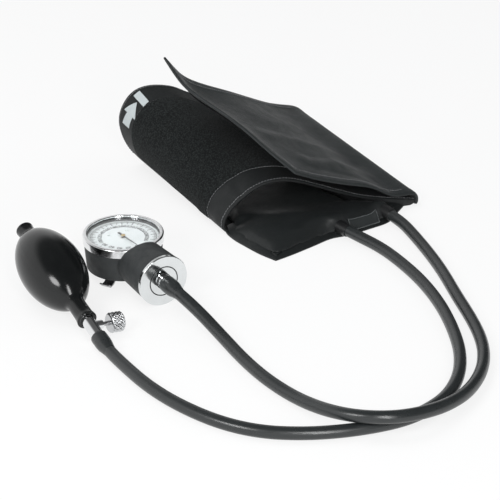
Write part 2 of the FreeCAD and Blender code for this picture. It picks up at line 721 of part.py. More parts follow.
def end_cap():
    """The bright cap on the neck, with the nozzle held in it by a lock ring."""
    web = d.cap_thickness - d.lock_ring_thickness
    cap = turned("end_cap_body", [
        (12, -plug_depth), (d.neck_bore, -plug_depth), (d.neck_bore, 0), (d.cap_radius, 0),
        (d.cap_radius, d.cap_thickness), (d.lock_ring_radius + LOCK_GROOVE, d.cap_thickness),
        (d.lock_ring_radius + LOCK_GROOVE, web), (d.nozzle_hub_radius, web),
        (d.nozzle_hub_radius, 0.5), (FLANGE_RADIUS, 0.5), (FLANGE_RADIUS, -0.8), (12, -0.8)])
    soften(cap, "cap_front_round", 0.7, ring_edge(d.cap_radius, d.cap_thickness))
    soften(cap, "cap_back_round", 0.4, ring_edge(d.cap_radius, 0))
    keep(cap, "end_cap", "gauge", shift(cap_back, 0, neck_height, ALONG_X))
    ring = turned("lock_ring_body", [
        (d.nozzle_hub_radius, web), (d.lock_ring_radius, web), (d.lock_ring_radius, d.cap_thickness),
        (d.nozzle_hub_radius, d.cap_thickness)])
    spanner = (d.lock_ring_radius + d.nozzle_hub_radius) / 2 + 0.8
    drill(ring, "spanner_holes", [(spanner * side, 0, 0.8) for side in (-1, 1)], d.cap_thickness, 0.7)
    turn = ALONG_X.multiply(Rotation(Vector(0, 0, 1), 20))
    keep(ring, "lock_ring", "gauge", shift(cap_back, 0, neck_height, turn))
    hub_end = d.cap_thickness + d.nozzle_hub_length
    nozzle = turned("hose_nozzle_body", [
        (d.air_bore, -0.8), (FLANGE_RADIUS, -0.8), (FLANGE_RADIUS, 0.5), (d.nozzle_hub_radius, 0.5),
        (d.nozzle_hub_radius, hub_end)] + barb(hub_end, d.barb_length)
        + [(d.air_bore, hub_end + d.barb_length)])
    soften(nozzle, "hub_round", 0.6, ring_edge(d.nozzle_hub_radius, hub_end))
    keep(nozzle, "hose_nozzle", "gauge", shift(cap_back, 0, neck_height, ALONG_X))
    gasket = turned("cap_gasket_body", [
        (d.neck_bore, 0), (d.neck_end_radius - 0.2, 0),
        (d.neck_end_radius - 0.2, d.cap_gasket_thickness), (d.neck_bore, d.cap_gasket_thickness)])
    keep(gasket, "cap_gasket", "gauge", shift(d.neck_end, 0, neck_height, ALONG_X))


CLIP_TURN = -59.0           # which way the clip's foot points under the case
CLIP_SHEET = 1.0
CLIP_SCREWS = [-5.0, 8.0]   # along the clip
CLIP_SCREW_RADIUS = 0.9
clip_frame = shift(turn=Rotation(Vector(0, 0, 1), CLIP_TURN))


def back_clip():
    """A bent strip under the case, with a hooked foot, held by two screws."""
    body = doc.addObject("PartDesign::Body", "back_clip_body")
    sketch = new_sketch(body, "back_clip_bends", "XZ_Plane")
    under = d.case_underside
    draw_outline(sketch, [
        (-9, under), (15.5, under), (23, 2.0), (26.8, 1.3), (29.3, 3.8), (30.1, 3.2), (27.2, 0.25),
        (22.4, 0.9), (15, under - CLIP_SHEET), (-9, under - CLIP_SHEET)])
    strip = body.newObject("PartDesign::Pad", "back_clip_strip")
    strip.Profile = sketch
    strip.Length = 8
    strip.Midplane = True
    doc.recompute()
    drill(body, "clip_holes", [(x, 0, CLIP_SCREW_RADIUS) for x in CLIP_SCREWS], under, CLIP_SHEET)
    keep(body, "back_clip", "gauge", clip_frame)
    pattern = screw("clip_screw", CLIP_SCREW_RADIUS, 0, CLIP_SHEET + d.case_floor - 0.2, 1.0)
    over = Rotation(Vector(1, 0, 0), 180)
    rise = under - CLIP_SHEET + (CLIP_SHEET + d.case_floor - 0.2)
    places = [clip_frame.multiply(shift(x, 0, rise, over)) for x in CLIP_SCREWS]
    copies_at("clip_screws", pattern, places, "gauge")


def clip_screw_bores():
    """Blind holes for the clip's screws in the floor of the case."""
    bores = []
    for index, x in enumerate(CLIP_SCREWS):
        at = clip_frame.multiply(shift(x, 0, d.case_underside - 1))
        bores.append(primitive("Cylinder", f"clip_bore_{index}", at, Radius=CLIP_SCREW_RADIUS,
                               Height=d.case_floor + 1 - 0.2))
    return bores


# ---------------------------------------------------------------- bulb and valves

BULB_POWER = 1.16           # how pointed the bulb's ends are
INLET_RADIUS = 4.2          # inlet valve body in the bulb's collar
CHAMBER_RADIUS = 3.3        # chambers of the two check discs
SEAT_GAP = 0.05             # a resting disc and its seat
inlet_start = -d.tail_end + 0.5
inlet_end = inlet_start + 9.3


def bulb_profile(offset, end_radii, steps):
    """Points (radius, distance) of the bulb's curved side, moved inwards by an offset."""
    def point(angle):
        radius = float(d.bulb_radius) * math.cos(angle) ** BULB_POWER
        along = float(d.bulb_half_length) * math.sin(angle)
        slope_r = -BULB_POWER * float(d.bulb_radius) * math.cos(angle) ** (BULB_POWER - 1) \
            * math.sin(angle)
        slope_s = float(d.bulb_half_length) * math.cos(angle)
        size = math.hypot(slope_r, slope_s)
        return (radius - offset * slope_s / size, along + offset * slope_r / size)

    def angle_of(radius, sign):
        low, high = 0.0, 1.5
        for step in range(60):
            middle = (low + high) / 2
            if point(sign * middle)[0] > radius:
                low = middle
            else:
                high = middle
        return sign * low
    first = angle_of(end_radii[0], -1)
    last = angle_of(end_radii[1], 1)
    return [point(first + (last - first) * step / steps) for step in range(steps + 1)]


def revolved(points, ends):
    """A solid of revolution about Z: a smooth curve closed by straight lines through the ends."""
    curve = Part.BSplineCurve()
    curve.interpolate([Vector(r, 0, s) for r, s in points])
    corners = [points[-1]] + [(float(r), float(s)) for r, s in ends] + [points[0]]
    lines = [Part.LineSegment(Vector(a[0], 0, a[1]), Vector(b[0], 0, b[1])).toShape()
             for a, b in zip(corners, corners[1:])]
    wire = Part.Wire(Part.__sortEdges__([curve.toShape()] + lines))
    return Part.Face(wire).revolve(Vector(), Vector(0, 0, 1), 360)


def bulb():
    """A hollow rubber bulb with an inlet collar and a sleeve that grips the valve."""
    flared = d.sleeve_radius + d.sleeve_flare
    side = bulb_profile(0.0, (float(d.tail_radius), float(d.sleeve_radius)), 18)
    outside = revolved(side, [(flared, d.sleeve_end), (0, d.sleeve_end), (0, -d.tail_end),
                              (d.tail_radius, -d.tail_end)])
    junctions = [edge for edge in outside.Edges if isinstance(edge.Curve, Part.Circle)
                 and 38 < abs(edge.Curve.Center.z) < 43]
    outside = outside.makeFillet(1.5, junctions)
    hollow = bulb_profile(float(d.bulb_wall), (INLET_RADIUS, float(d.barrel_radius)), 18)
    inside = revolved(hollow, [(d.barrel_radius, d.sleeve_end + 1), (0, d.sleeve_end + 1),
                               (0, -d.tail_end - 1), (INLET_RADIUS, -d.tail_end - 1)])
    keep(solid_feature("bulb_skin", outside.cut(inside)), "bulb", "bulb", shift(turn=ALONG_X))


def inlet_valve():
    """The inlet fitting in the bulb's collar with its floating disc."""
    floor = inlet_start + 4.3
    fitting = turned("inlet_fitting_body", [
        (d.air_bore, inlet_start), (INLET_RADIUS, inlet_start), (INLET_RADIUS, inlet_end),
        (CHAMBER_RADIUS, inlet_end), (CHAMBER_RADIUS, floor), (d.air_bore, floor)])
    keep(fitting, "inlet_fitting", "bulb", shift(turn=ALONG_X))
    disc_start = floor + SEAT_GAP
    keep(primitive("Cylinder", "inlet_disc_rubber", shift(disc_start, 0, 0, ALONG_X),
                   Radius=d.disc_radius, Height=d.disc_thickness), "inlet_disc", "bulb")
    stop = disc_start + d.disc_thickness + d.disc_travel + SEAT_GAP
    ring = turned("inlet_retainer_body", [
        (d.air_bore, stop), (CHAMBER_RADIUS, stop), (CHAMBER_RADIUS, inlet_end),
        (d.air_bore, inlet_end)])
    keep(ring, "inlet_retainer", "bulb", shift(turn=ALONG_X))


SEAT_THICKNESS = 1.5
ORIFICE_RADIUS = 0.8
SPOT_FACE = 3.0             # from the barrel's axis to the bottom of the gland's recess
GLAND_GAP = 0.6             # space under the gland that vents the released air


def valve():
    """The bright valve barrel with its outlet check disc and its release screw."""
    seat_start = d.barrel_start + 0.2
    disc_start = seat_start + SEAT_THICKNESS + SEAT_GAP
    chamber_end = disc_start + d.disc_thickness + d.disc_travel + 0.15
    barrel = turned("valve_barrel_body", [
        (CHAMBER_RADIUS, d.barrel_start), (d.barrel_radius - 0.5, d.barrel_start),
        (d.barrel_radius, d.barrel_start + 0.5), (d.barrel_radius, d.barrel_end - 0.5),
        (d.barrel_radius - 0.5, d.barrel_end)] + barb(d.barrel_end, d.barb_length)
        + [(d.air_bore, d.barrel_end + d.barb_length), (d.air_bore, chamber_end),
           (CHAMBER_RADIUS, chamber_end)])
    orifice = primitive("Cylinder", "release_orifice", shift(0, 1, d.knob_station, ALONG_Y),
                        Radius=ORIFICE_RADIUS, Height=SPOT_FACE)
    recess = primitive("Cylinder", "gland_recess", shift(0, SPOT_FACE, d.knob_station, ALONG_Y),
                       Radius=d.gland_radius, Height=4)
    keep(cut("valve_barrel_bored", barrel, [orifice, recess]), "valve_barrel", "bulb",
         shift(turn=ALONG_X))
    seat = turned("outlet_seat_body", [
        (d.air_bore, seat_start), (CHAMBER_RADIUS, seat_start),
        (CHAMBER_RADIUS, seat_start + SEAT_THICKNESS), (d.air_bore, seat_start + SEAT_THICKNESS)])
    keep(seat, "outlet_seat", "bulb", shift(turn=ALONG_X))
    keep(primitive("Cylinder", "outlet_disc_rubber", shift(disc_start, 0, 0, ALONG_X),
                   Radius=d.disc_radius, Height=d.disc_thickness), "outlet_disc", "bulb")

    stem_bore = d.stem_radius + d.running_gap
    seal_start = d.gland_end - 1
    seal_radius = d.stem_radius + 0.8
    gland = turned("valve_gland_body", [
        (stem_bore, SPOT_FACE + GLAND_GAP), (d.gland_radius, SPOT_FACE + GLAND_GAP),
        (d.gland_radius, d.gland_end), (seal_radius, d.gland_end), (seal_radius, seal_start),
        (stem_bore, seal_start)])
    keep(gland, "valve_gland", "bulb", shift(d.knob_station, 0, 0, ALONG_Y))
    seal = turned("gland_seal_body", [
        (stem_bore, seal_start), (seal_radius, seal_start), (seal_radius, seal_start + 0.8),
        (stem_bore, seal_start + 0.8)])
    keep(seal, "gland_seal", "bulb", shift(d.knob_station, 0, 0, ALONG_Y))

    cone_start = SPOT_FACE - ORIFICE_RADIUS + SEAT_GAP
    socket_end = d.knob_start + 6.2
    needle = turned("release_needle_body", [
        (0, cone_start), (d.stem_radius, cone_start + d.stem_radius),
        (d.stem_radius, socket_end - 0.1), (0, socket_end - 0.1)])
    keep(needle, "release_needle", "bulb", shift(d.knob_station, 0, 0, ALONG_Y))


KNURLS = 30
KNURL_DEPTH = 0.35
KNOB_CHAMFER = 0.8


def thumb_knob():
    """A ribbed knob with a dished face, on the end of the release screw."""
    stem_bore = d.stem_radius + d.running_gap
    dish = d.knob_radius - 2.4
    body = turned("thumb_knob_body", [
        (stem_bore, 0), (d.knob_radius - KNOB_CHAMFER, 0), (d.knob_radius, KNOB_CHAMFER),
        (d.knob_radius, d.knob_length - KNOB_CHAMFER),
        (d.knob_radius - KNOB_CHAMFER, d.knob_length), (dish + 0.5, d.knob_length),
        (dish, d.knob_length - 0.5), (0, d.knob_length - 0.5), (0, 6.2), (stem_bore, 6.2)])
    plain = body.Shape.Volume
    half = 0.42
    notch = pad_cut(body, "knurl_notch", [
        (d.knob_radius - KNURL_DEPTH, 0), (d.knob_radius + 0.3, -half), (d.knob_radius + 0.3, half)],
        d.knob_length, d.knob_length)
    one = plain - body.Shape.Volume
    repeat_around(body, "knurls", [notch], KNURLS)
    lost = plain - body.Shape.Volume
    if abs(lost - KNURLS * one) > 0.02 * lost:
        raise RuntimeError("the knurls are not all cut")
    keep(body, "thumb_knob", "bulb", shift(d.knob_station, d.knob_start, 0, ALONG_Y))


# ---------------------------------------------------------------- cuff
# Cuff coordinates: u across the near edge, v away from it, z up. The outer wrap is a flattened
# sleeve between a near and a far rim. Corners of the two rims are paired: the straight underside,
# then up round the right-hand fold, over the top and down the rolled left side.

WRAP_RIMS = [
    # near (u, z)      far (u, z)
    ((148.0, 0.0), (55.0, 0.0)),
    ((150.3, 0.9), (80.0, 9.0)),
    ((152.0, 3.0), (98.0, 23.0)),
    ((151.7, 5.0), (104.0, 29.5)),
    ((148.0, 6.0), (102.5, 33.2)),
    ((130.0, 9.2), (92.0, 36.5)),
    ((109.0, 14.0), (75.0, 41.0)),
    ((93.0, 20.0), (60.0, 44.7)),
    ((71.0, 29.5), (44.0, 48.5)),
    ((46.0, 39.0), (25.0, 54.0)),
    ((27.0, 40.5), (2.6, 60.0)),
    ((18.0, 38.3), (-10.0, 67.0)),
    ((10.0, 34.0), (-25.0, 70.5)),
    ((2.0, 27.7), (-38.0, 69.5)),
    ((-4.0, 21.0), (-48.0, 62.0)),
    ((-7.2, 14.5), (-55.0, 48.0)),
    ((-8.0, 8.0), (-55.0, 33.0)),
    ((-6.5, 3.3), (-51.0, 16.0)),
    ((-3.0, 0.0), (-38.0, 0.0)),
]
HOLLOW_FROM = 6             # the hollow follows the rims from this corner on
HOLLOW_START = [
    ((112.0, 2.6), (52.0, 2.6)), ((110.8, 7.0), (73.0, 13.0)), ((110.0, 9.6), (88.0, 32.0))]
HOLLOW_END = ((-1.9, 2.6), (-36.8, 2.6))


def shared_parameters(near, far):
    """One parameter per pair of corners, from the mean of the two chord lengths."""
    steps = [0.0]
    for index in range(1, len(near)):
        run = math.dist(near[index - 1], near[index]) + math.dist(far[index - 1], far[index])
        steps.append(steps[-1] + run)
    return [step / steps[-1] for step in steps]


def section_curve(corners, parameters, v):
    curve = Part.BSplineCurve()
    curve.interpolate(Points=[Vector(u, v, z) for u, z in corners], Parameters=parameters)
    return curve


def moved_aside(corners, parameters, distance):
    """The corners moved at right angles to their curve; a positive distance is inwards."""
    curve = section_curve(corners, parameters, 0)
    moved = []
    for (u, z), parameter in zip(corners, parameters):
        along = curve.tangent(parameter)[0]
        moved.append((u - along.z * distance, z + along.x * distance))
    return moved


def ruled_solid(wires):
    return Part.makeLoft(wires, True, True)


def facets(corners, parameters, v, first=None, last=None):
    """Points of a section curve at its corners and half-way between them."""
    curve = section_curve(corners, parameters, v)
    first = parameters[0] if first is None else first
    last = parameters[-1] if last is None else last
    halves = [(low + high) / 2 for low, high in zip(parameters, parameters[1:])]
    inside = [place for place in sorted(parameters + halves) if first < place < last]
    return [curve.value(place) for place in [first] + inside + [last]]


def closed(points):
    return Part.makePolygon(points + points[:1])


def mixed(near, far, share):
    return [tuple(a + (b - a) * share for a, b in zip(p, q)) for p, q in zip(near, far)]


near_v = float(d.near_depth)
far_v = near_v + float(d.cuff_width)
BANDS = 5                   # bands of the wrap between its rims, so that each is hardly twisted
SPARE_BELOW = 1.0           # cut off level with the table, which leaves one flat underside
rim_near = [pair[0] for pair in WRAP_RIMS]
rim_far = [pair[1] for pair in WRAP_RIMS]
rim_parameters = shared_parameters(rim_near, rim_far)


def cuff_wrap():
    """The folded sleeve of the cuff, open at both ends for the arm and flat underneath."""
    sections = []
    for band in range(BANDS + 1):
        share = band / BANDS
        points = facets(mixed(rim_near, rim_far, share), rim_parameters,
                        near_v + (far_v - near_v) * share)
        below = [points[-1] + Vector(SPARE_BELOW, 0, -SPARE_BELOW),
                 points[0] - Vector(SPARE_BELOW, 0, SPARE_BELOW)]
        sections.append(closed(points + below))
    long_side = 4 * float(d.cuff_width)
    under_table = Part.makeBox(long_side, long_side, 2 * SPARE_BELOW,
                               Vector(-long_side / 2, -long_side / 2, -2 * SPARE_BELOW))
    outside = ruled_solid(sections).cut(under_table)
    inner = []
    for rim, side in ((rim_near, 0), (rim_far, 1)):
        aside = moved_aside(rim, rim_parameters, float(d.fabric))
        inner.append([pair[side] for pair in HOLLOW_START] + aside[HOLLOW_FROM:-1]
                     + [HOLLOW_END[side]])
    parameters = shared_parameters(inner[0], inner[1])
    spare = 2 / float(d.cuff_width)
    wires = []
    for band in range(BANDS + 1):
        share = -spare + (1 + 2 * spare) * band / BANDS
        corners = mixed(inner[0], inner[1], share)
        v = near_v + (far_v - near_v) * share
        wires.append(closed(facets(corners, parameters, v)))
    hollow = ruled_solid(wires)
    shape = outside.cut(hollow)
    if not shape.Volume < 0.75 * outside.Volume:
        raise RuntimeError("the wrap is not hollow")
    keep(solid_feature("cuff_wrap_cloth", shape), "cuff_wrap", "cuff")


LOOP_FIRST, LOOP_LAST = 6.3, 16.2   # the loop pad's ends, counted in rim corners


def corner_parameter(place):
    low = int(place)
    return rim_parameters[low] + (rim_parameters[low + 1] - rim_parameters[low]) * (place - low)


def loop_pad():
    """The fuzzy half of the fastener on the outside of the wrap."""
    wires = []
    for band in range(BANDS):
        v = near_v + float(d.border) + (far_v - near_v - 2 * float(d.border)) * band / (BANDS - 1)
        corners = mixed(rim_near, rim_far, (v - near_v) / (far_v - near_v))
        ends = (corner_parameter(LOOP_FIRST), corner_parameter(LOOP_LAST))
        sides = []
        for lift in (float(d.pad_gap), float(d.pad_gap + d.pad_thickness)):
            sides.append(facets(moved_aside(corners, rim_parameters, -lift), rim_parameters, v, *ends))
        wires.append(closed(sides[0] + sides[1][::-1]))
    keep(solid_feature("loop_pad_cloth", ruled_solid(wires)), "loop_pad", "cuff")


def slab(sections):
    """A soft slab through straight-sided sections, each (v, [(u, z), ...])."""
    wires = []
    for v, corners in sections:
        points = [Vector(u, v, z) for u, z in corners]
        wires.append(Part.makePolygon(points + points[:1]))
    return Part.makeLoft(wires, True, True)


# the two ports: where each tube ends, and the way it leaves, in cuff coordinates
PORTS = [
    (Vector(75.5, 3.5, 6.5), Vector(6.5, -16.0, -0.3)),
    (Vector(118, 16, 8), Vector(5.5, -16.0, -0.7)),
]
PORT_INSIDE = 6.0           # length of each port behind the tube's end
NECK_RADIUS = 3.2           # necks of the inflation bladder
HOLLOW_TAPER = 0.42         # how fast the hollow's right side moves left with depth


def rod(start, along, radius, first, last):
    """A cylinder on a line through a point, between two distances along it."""
    along = Vector(along).normalize()
    return Part.makeCylinder(radius, last - first, start + along * first, along)


def bladder_slab(grow):
    """The inflation bladder's bag, or the pocket for it when it is grown by a clearance."""
    sections = [
        (6 - grow, 12, 78, 3.5, 10.5), (20, 8, 114, 3.5, 10.0), (28.5, 5, 117, 3.5, 8.8),
        (33.4, 5, 99, 4.2, 10.0), (near_v + 0.74 * (far_v - near_v) + grow, 5, 58, 4.2, 10.0)]
    solid = []
    for v, left, right, low, high in sections:
        slope = (high - low) * 0.5
        solid.append((v, [
            (left - 1.8 * grow, low + 1), (left + slope - 0.6 * grow, high + grow),
            (right - 3 * slope + 0.6 * grow, high + grow), (right + 1.8 * grow, low + 1),
            (right - slope + 0.6 * grow, low - grow), (left + slope - 0.6 * grow, low - grow)]))
    return slab(solid)


def bladder_and_panel():
    """The inner panel that leaves the sleeve at the near side, the bladder in it and its ports."""
    outside = slab([
        (-24, [(13, 0), (13, 2.5), (13.5, 4), (17.2, 4), (17.8, 3.2), (18.3, 2.0), (18.3, 0)]),
        (-10, [(7.3, 0), (7.3, 5), (11, 10), (40, 10), (47, 8), (51.4, 4.5), (51.4, 0)]),
        (10, [(-1.1, 0), (-1.1, 6), (4, 13.5), (80, 13.5), (91, 12.0), (98.7, 7), (98.7, 0)]),
        (24, [(-3, 0), (-3, 6), (4, 12.5), (105, 13.5), (122, 10.5), (131.8, 6), (131.8, 0)]),
        (near_v - 0.4, [(-2, 0), (-2.5, 5), (4, 12), (105, 13), (125, 8.2), (147, 4.6), (147, 0)])])
    end_v = near_v + 0.945 * (far_v - near_v)
    reach = HOLLOW_TAPER * (end_v - near_v)
    inside = slab([
        (near_v - 1.5, [(0, 3.0), (-1, 5), (4, 12), (60, 13), (92, 12), (106, 6), (106, 3.0)]),
        (near_v + 2, [(0, 3.0), (-1, 5), (4, 12), (60, 14), (90, 12), (105, 6), (105, 3.0)]),
        (end_v, [(-18, 3.0), (-18, 5), (-14, 12), (20, 14), (88 - reach, 12), (105 - reach, 6),
                 (105 - reach, 3.0)])])
    panel = outside.fuse(inside)
    gap = float(d.soft_gap)
    panel = panel.cut(bladder_slab(gap))
    bladder = bladder_slab(0.0)
    for index, (end, along) in enumerate(PORTS):
        outward = float(d.port_length) - PORT_INSIDE
        panel = panel.cut(rod(end, along, float(d.port_radius), -PORT_INSIDE, 60))
        panel = panel.cut(rod(end, along, NECK_RADIUS + gap, -PORT_INSIDE - 10, 0))
        neck = rod(end, along, NECK_RADIUS, -PORT_INSIDE - 8, 0)
        bladder = bladder.cut(rod(end, along, float(d.port_radius) + gap, -PORT_INSIDE - gap, 60))
        bladder = bladder.fuse(neck)
        sleeve = rod(end, along, float(d.port_radius), -PORT_INSIDE, outward)
        sleeve = sleeve.cut(rod(end, along, float(d.tube_radius), 0, outward + 1))
        sleeve = sleeve.cut(rod(end, along, NECK_RADIUS, -PORT_INSIDE - 1, 1))
        keep(solid_feature(f"port_{index}_rubber", sleeve), ("left_port", "right_port")[index], "cuff")
    keep(solid_feature("bladder_panel_cloth", panel), "bladder_panel", "cuff")
    keep(solid_feature("inflation_bladder_rubber", bladder), "inflation_bladder", "cuff")


# The free flap: a sheet with a straight right-hand edge low on the fold and a raised left-hand
# edge. Rows run from the near edge to the far one, columns from the fold to the raised edge.
FLAP_CORNERS = ((153.9, 33.3), (40.5, 10.8), (106.0, 177.0), (-31.5, 121.6))
FLAP_ROWS = (0.0, 0.25, 0.5, 0.75, 0.88, 1.0)
FLAP_COLUMNS = (0.0, 0.15, 0.35, 0.6, 0.8, 1.0)
FLAP_NEAR = (8.6, 12.8, 24.7, 36.0, 45.3, 56.0)
FLAP_FAR = (36.4, 43.8, 56.0, 74.3, 90.0, 118.6)
FLAP_DIPS = (0.0, -1.5, -2.5, -9.0, -11.0, 0.0)     # of the raised edge, row by row
DIP_SHARES = (0.0, 0.0, 0.0, 0.15, 0.5, 1.0)        # how far a dip reaches, column by column
FLAP_STEPS = 12             # flat strips each way across the flap
HOOK_COLUMNS = (6, 11)      # strips that the hook pad spans
HOOK_ROWS = (1, 11)


def flap_point(row, column):
    """A point of the flap's upper side; the depth follows the cuff's width."""
    near_right, near_left, far_right, far_left = FLAP_CORNERS
    share = FLAP_ROWS[row]
    place = FLAP_COLUMNS[column]
    near = [a + (b - a) * place for a, b in zip(near_right, near_left)]
    far = [a + (b - a) * place for a, b in zip(far_right, far_left)]
    u = near[0] + (far[0] - near[0]) * share
    v = near[1] + (far[1] - near[1]) * share * float(d.cuff_width) / 145
    rise = FLAP_NEAR[column] + (FLAP_FAR[column] - FLAP_NEAR[column]) * share
    return Vector(u, v, rise + FLAP_DIPS[row] * DIP_SHARES[column])


def cuff_flap():
    """The free end of the cuff over the wrap, with the hook pad under it."""
    rows = [[flap_point(row, column) for column in range(len(FLAP_COLUMNS))]
            for row in range(len(FLAP_ROWS))]
    surface = Part.BSplineSurface()
    surface.interpolate(rows)
    r0, r1, c0, c1 = surface.bounds()

    def sheet_between(row_range, column_range, top, bottom):
        sections = []
        for row in range(row_range[0], row_range[1] + 1):
            upper = [surface.value(r0 + (r1 - r0) * row / FLAP_STEPS,
                                   c0 + (c1 - c0) * column / FLAP_STEPS)
                     for column in range(column_range[0], column_range[1] + 1)]
            high = [point - Vector(0, 0, top) for point in upper]
            low = [point - Vector(0, 0, bottom) for point in upper]
            sections.append(closed(high + low[::-1]))
        return ruled_solid(sections)
    depth = float(d.flap_thickness) * 1.12      # measured upright on a sloping sheet
    flap = sheet_between((0, FLAP_STEPS), (0, FLAP_STEPS), 0, depth)
    keep(solid_feature("cuff_flap_cloth", flap), "cuff_flap", "cuff")
    under = depth + float(d.pad_gap)
    hooks = sheet_between(HOOK_ROWS, HOOK_COLUMNS, under, under + float(d.pad_thickness) * 1.25)
    keep(solid_feature("hook_pad_cloth", hooks), "hook_pad", "cuff")
    near, far = flap_point(0, 0), flap_point(len(FLAP_ROWS) - 1, 0)
    drop = Vector(0, 0, depth)
    return near - drop, far - drop


# ---------------------------------------------------------------- layout and tubes

BULB_PITCH = 12.0
BULB_ROLL = -7.5
BULB_YAW = -60.6


def frame_turn(yaw, pitch=0.0, roll=0.0):
    return Rotation(yaw, pitch, roll)


frames = {
    "gauge": Placement(Vector(-95.2, -34.6, float(d.cap_radius - neck_height)), frame_turn(-57.5)),
    "bulb": Placement(Vector(-145.0, -76.2, 0), frame_turn(BULB_YAW, BULB_PITCH, BULB_ROLL)),
    "cuff": Placement(Vector(), frame_turn(18.308)),
    "table": Placement(),
}


def tube_start(frame, point, along, first_run):
    """The first two points of a tube that leaves a nozzle along its axis."""
    start = frames[frame].multVec(point)
    way = frames[frame].Rotation.multVec(along)
    return [start, start + way * first_run]


def tube_finish(port, last_run):
    """The last two points of a tube that ends in a port."""
    end, along = PORTS[port]
    end = frames["cuff"].multVec(end)
    way = frames["cuff"].Rotation.multVec(Vector(along).normalize())
    return [end + way * last_run, end]


GAUGE_TUBE_MIDDLE = [
    (-35.5, -122, 12.5), (-19.5, -145, 6.6), (-2, -175, 4.6), (17, -202, 4.8), (38, -223.5, 7.0),
    (57, -238.5, 14.0), (78, -250.5, 22.5), (103, -256, 22.7), (129.5, -248.5, 20.5),
    (150.5, -232, 14.5), (164.5, -207, 8.5), (170, -178, 5.0), (169, -144, 4.6),
    (163.5, -106, 4.6), (156, -72, 4.6), (147, -38, 4.7), (136, -6, 5.0), (127, 15, 6.0)]
BULB_TUBE_MIDDLE = [
    (-88.5, -175.5, 4.6), (-72, -199.5, 4.6), (-52, -223.5, 4.6), (-28, -244.5, 4.6),
    (-1.5, -257.5, 4.6), (26, -262, 4.6), (53, -260.3, 4.6), (78.5, -254.6, 4.6),
    (102, -244.5, 4.6), (121.5, -229, 4.6), (135.5, -208, 4.6), (143.5, -182, 4.6),
    (146, -152, 4.6), (143.3, -119, 4.6), (136.5, -86, 4.6), (126.5, -54, 4.6),
    (114, -28, 4.6), (101, -6, 5.0)]
CORNER_SHARE = 0.45         # part of the shorter run that each bend uses
TUBE_BORE = 2.3


def tube_path(points):
    """Straight runs joined by tangent arcs; gives the wire, the bend radii and the length."""
    edges = []
    radii = []
    start = points[0]
    for before, corner, after in zip(points, points[1:], points[2:]):
        into = corner - before
        out = after - corner
        reach = CORNER_SHARE * min(into.Length, out.Length)
        into.normalize()
        out.normalize()
        half_turn = into.getAngle(out) / 2
        radius = reach / math.tan(half_turn)
        first = corner - into * reach
        last = corner + out * reach
        inward = (out - into).normalize()
        middle = corner + inward * (radius / math.cos(half_turn) - radius)
        edges.append(Part.LineSegment(start, first).toShape())
        edges.append(Part.Arc(first, middle, last).toShape())
        radii.append(radius)
        start = last
    edges.append(Part.LineSegment(start, points[-1]).toShape())
    return Part.Wire(edges), radii


def swept(wire, radius):
    start = wire.Edges[0].valueAt(wire.Edges[0].FirstParameter)
    ahead = wire.Edges[0].tangentAt(wire.Edges[0].FirstParameter)
    circle = Part.Wire(Part.makeCircle(radius, start, ahead))
    return wire.makePipeShell([circle], True, False)


def tube(name, points, barb_at):
    """A rubber tube along a route, with the hose barb it is pushed over taken out of it."""
    wire, radii = tube_path(points)
    skin = swept(wire, float(d.tube_radius))
    lumen = swept(wire, TUBE_BORE)
    shape = skin.cut(lumen)
    expected = math.pi * (float(d.tube_radius) ** 2 - TUBE_BORE ** 2) * wire.Length
    if abs(shape.Volume - expected) > 0.01 * expected:
        raise RuntimeError(f"{name} has the volume {shape.Volume:.0f}, not {expected:.0f}")
    corners = [(0, 0)] + [(float(r), float(h)) for r, h in barb(as_dim(0), d.barb_length)] \
        + [(0, float(d.barb_length))]
    profile = Part.Face(Part.makePolygon([Vector(r, 0, h) for r, h in corners + corners[:1]]))
    plug = profile.revolve(Vector(), Vector(0, 0, 1), 360)
    plug.Placement = barb_at
    shape = shape.cut(plug)
    keep(solid_feature(name + "_rubber", shape), name, "table")
    print(f"{name}: length {wire.Length:.1f} mm, smallest radius {min(radii):.0f} mm,",
          "radii", [round(radius) for radius in radii])
    return points


gauge_case()
bezel_and_glass()
dial_and_screws()
sector_gear()
pinion_arbor()
hairspring()
movement_plates()
pointer()
bellows()
push_pin()
end_cap()
back_clip()
bulb()
inlet_valve()
valve()
thumb_knob()
cuff_wrap()
loop_pad()
bladder_and_panel()
flap_hinge = cuff_flap()
doc.recompute()


def box_of(names_in):
    """The joint bounding box of the placed sub-parts of some frames."""
    box = FreeCAD.BoundBox()
    for thing, name, frame, at in nodes:
        if frame in names_in:
            shape = thing.Shape.copy()
            shape.Placement = frames[frame].multiply(at)
            box.add(shape.optimalBoundingBox(False, False))
    return box


frames["bulb"].Base.z = -box_of({"bulb"}).ZMin

hub_face = cap_front + d.nozzle_hub_length
gauge_start = tube_start("gauge", Vector(float(hub_face), 0, float(neck_height)), Vector(1, 0, 0), 20)
valve_start = tube_start("bulb", Vector(float(d.barrel_end), 0, 0), Vector(1, 0, 0), 13.5)
middle = [Vector(*point) for point in GAUGE_TUBE_MIDDLE]
gauge_route = tube("gauge_tube", gauge_start + middle + tube_finish(1, 20),
                   frames["gauge"].multiply(shift(hub_face, 0, neck_height, ALONG_X)))
middle = [Vector(*point) for point in BULB_TUBE_MIDDLE]
bulb_route = tube("bulb_tube", valve_start + middle + tube_finish(0, 20),
                  frames["bulb"].multiply(shift(d.barrel_end, 0, 0, ALONG_X)))

whole = box_of({"gauge", "bulb", "cuff"})
home = Placement(Vector(-whole.Center.x, -whole.Center.y, -whole.ZMin), Rotation())
for thing, name, frame, at in nodes:
    thing.Placement = home.multiply(frames[frame]).multiply(at)

doc.recompute()

faults = [f"{thing.Label}: {thing.State}" for thing in doc.Objects
          if "Invalid" in thing.State or "Error" in thing.State]
for thing, name, frame, at in nodes:
    if thing.Shape.isNull() or not thing.Shape.isValid() or not thing.Shape.Solids:
        faults.append(f"{name}: no valid solid")
if faults:
    raise RuntimeError("; ".join(faults))

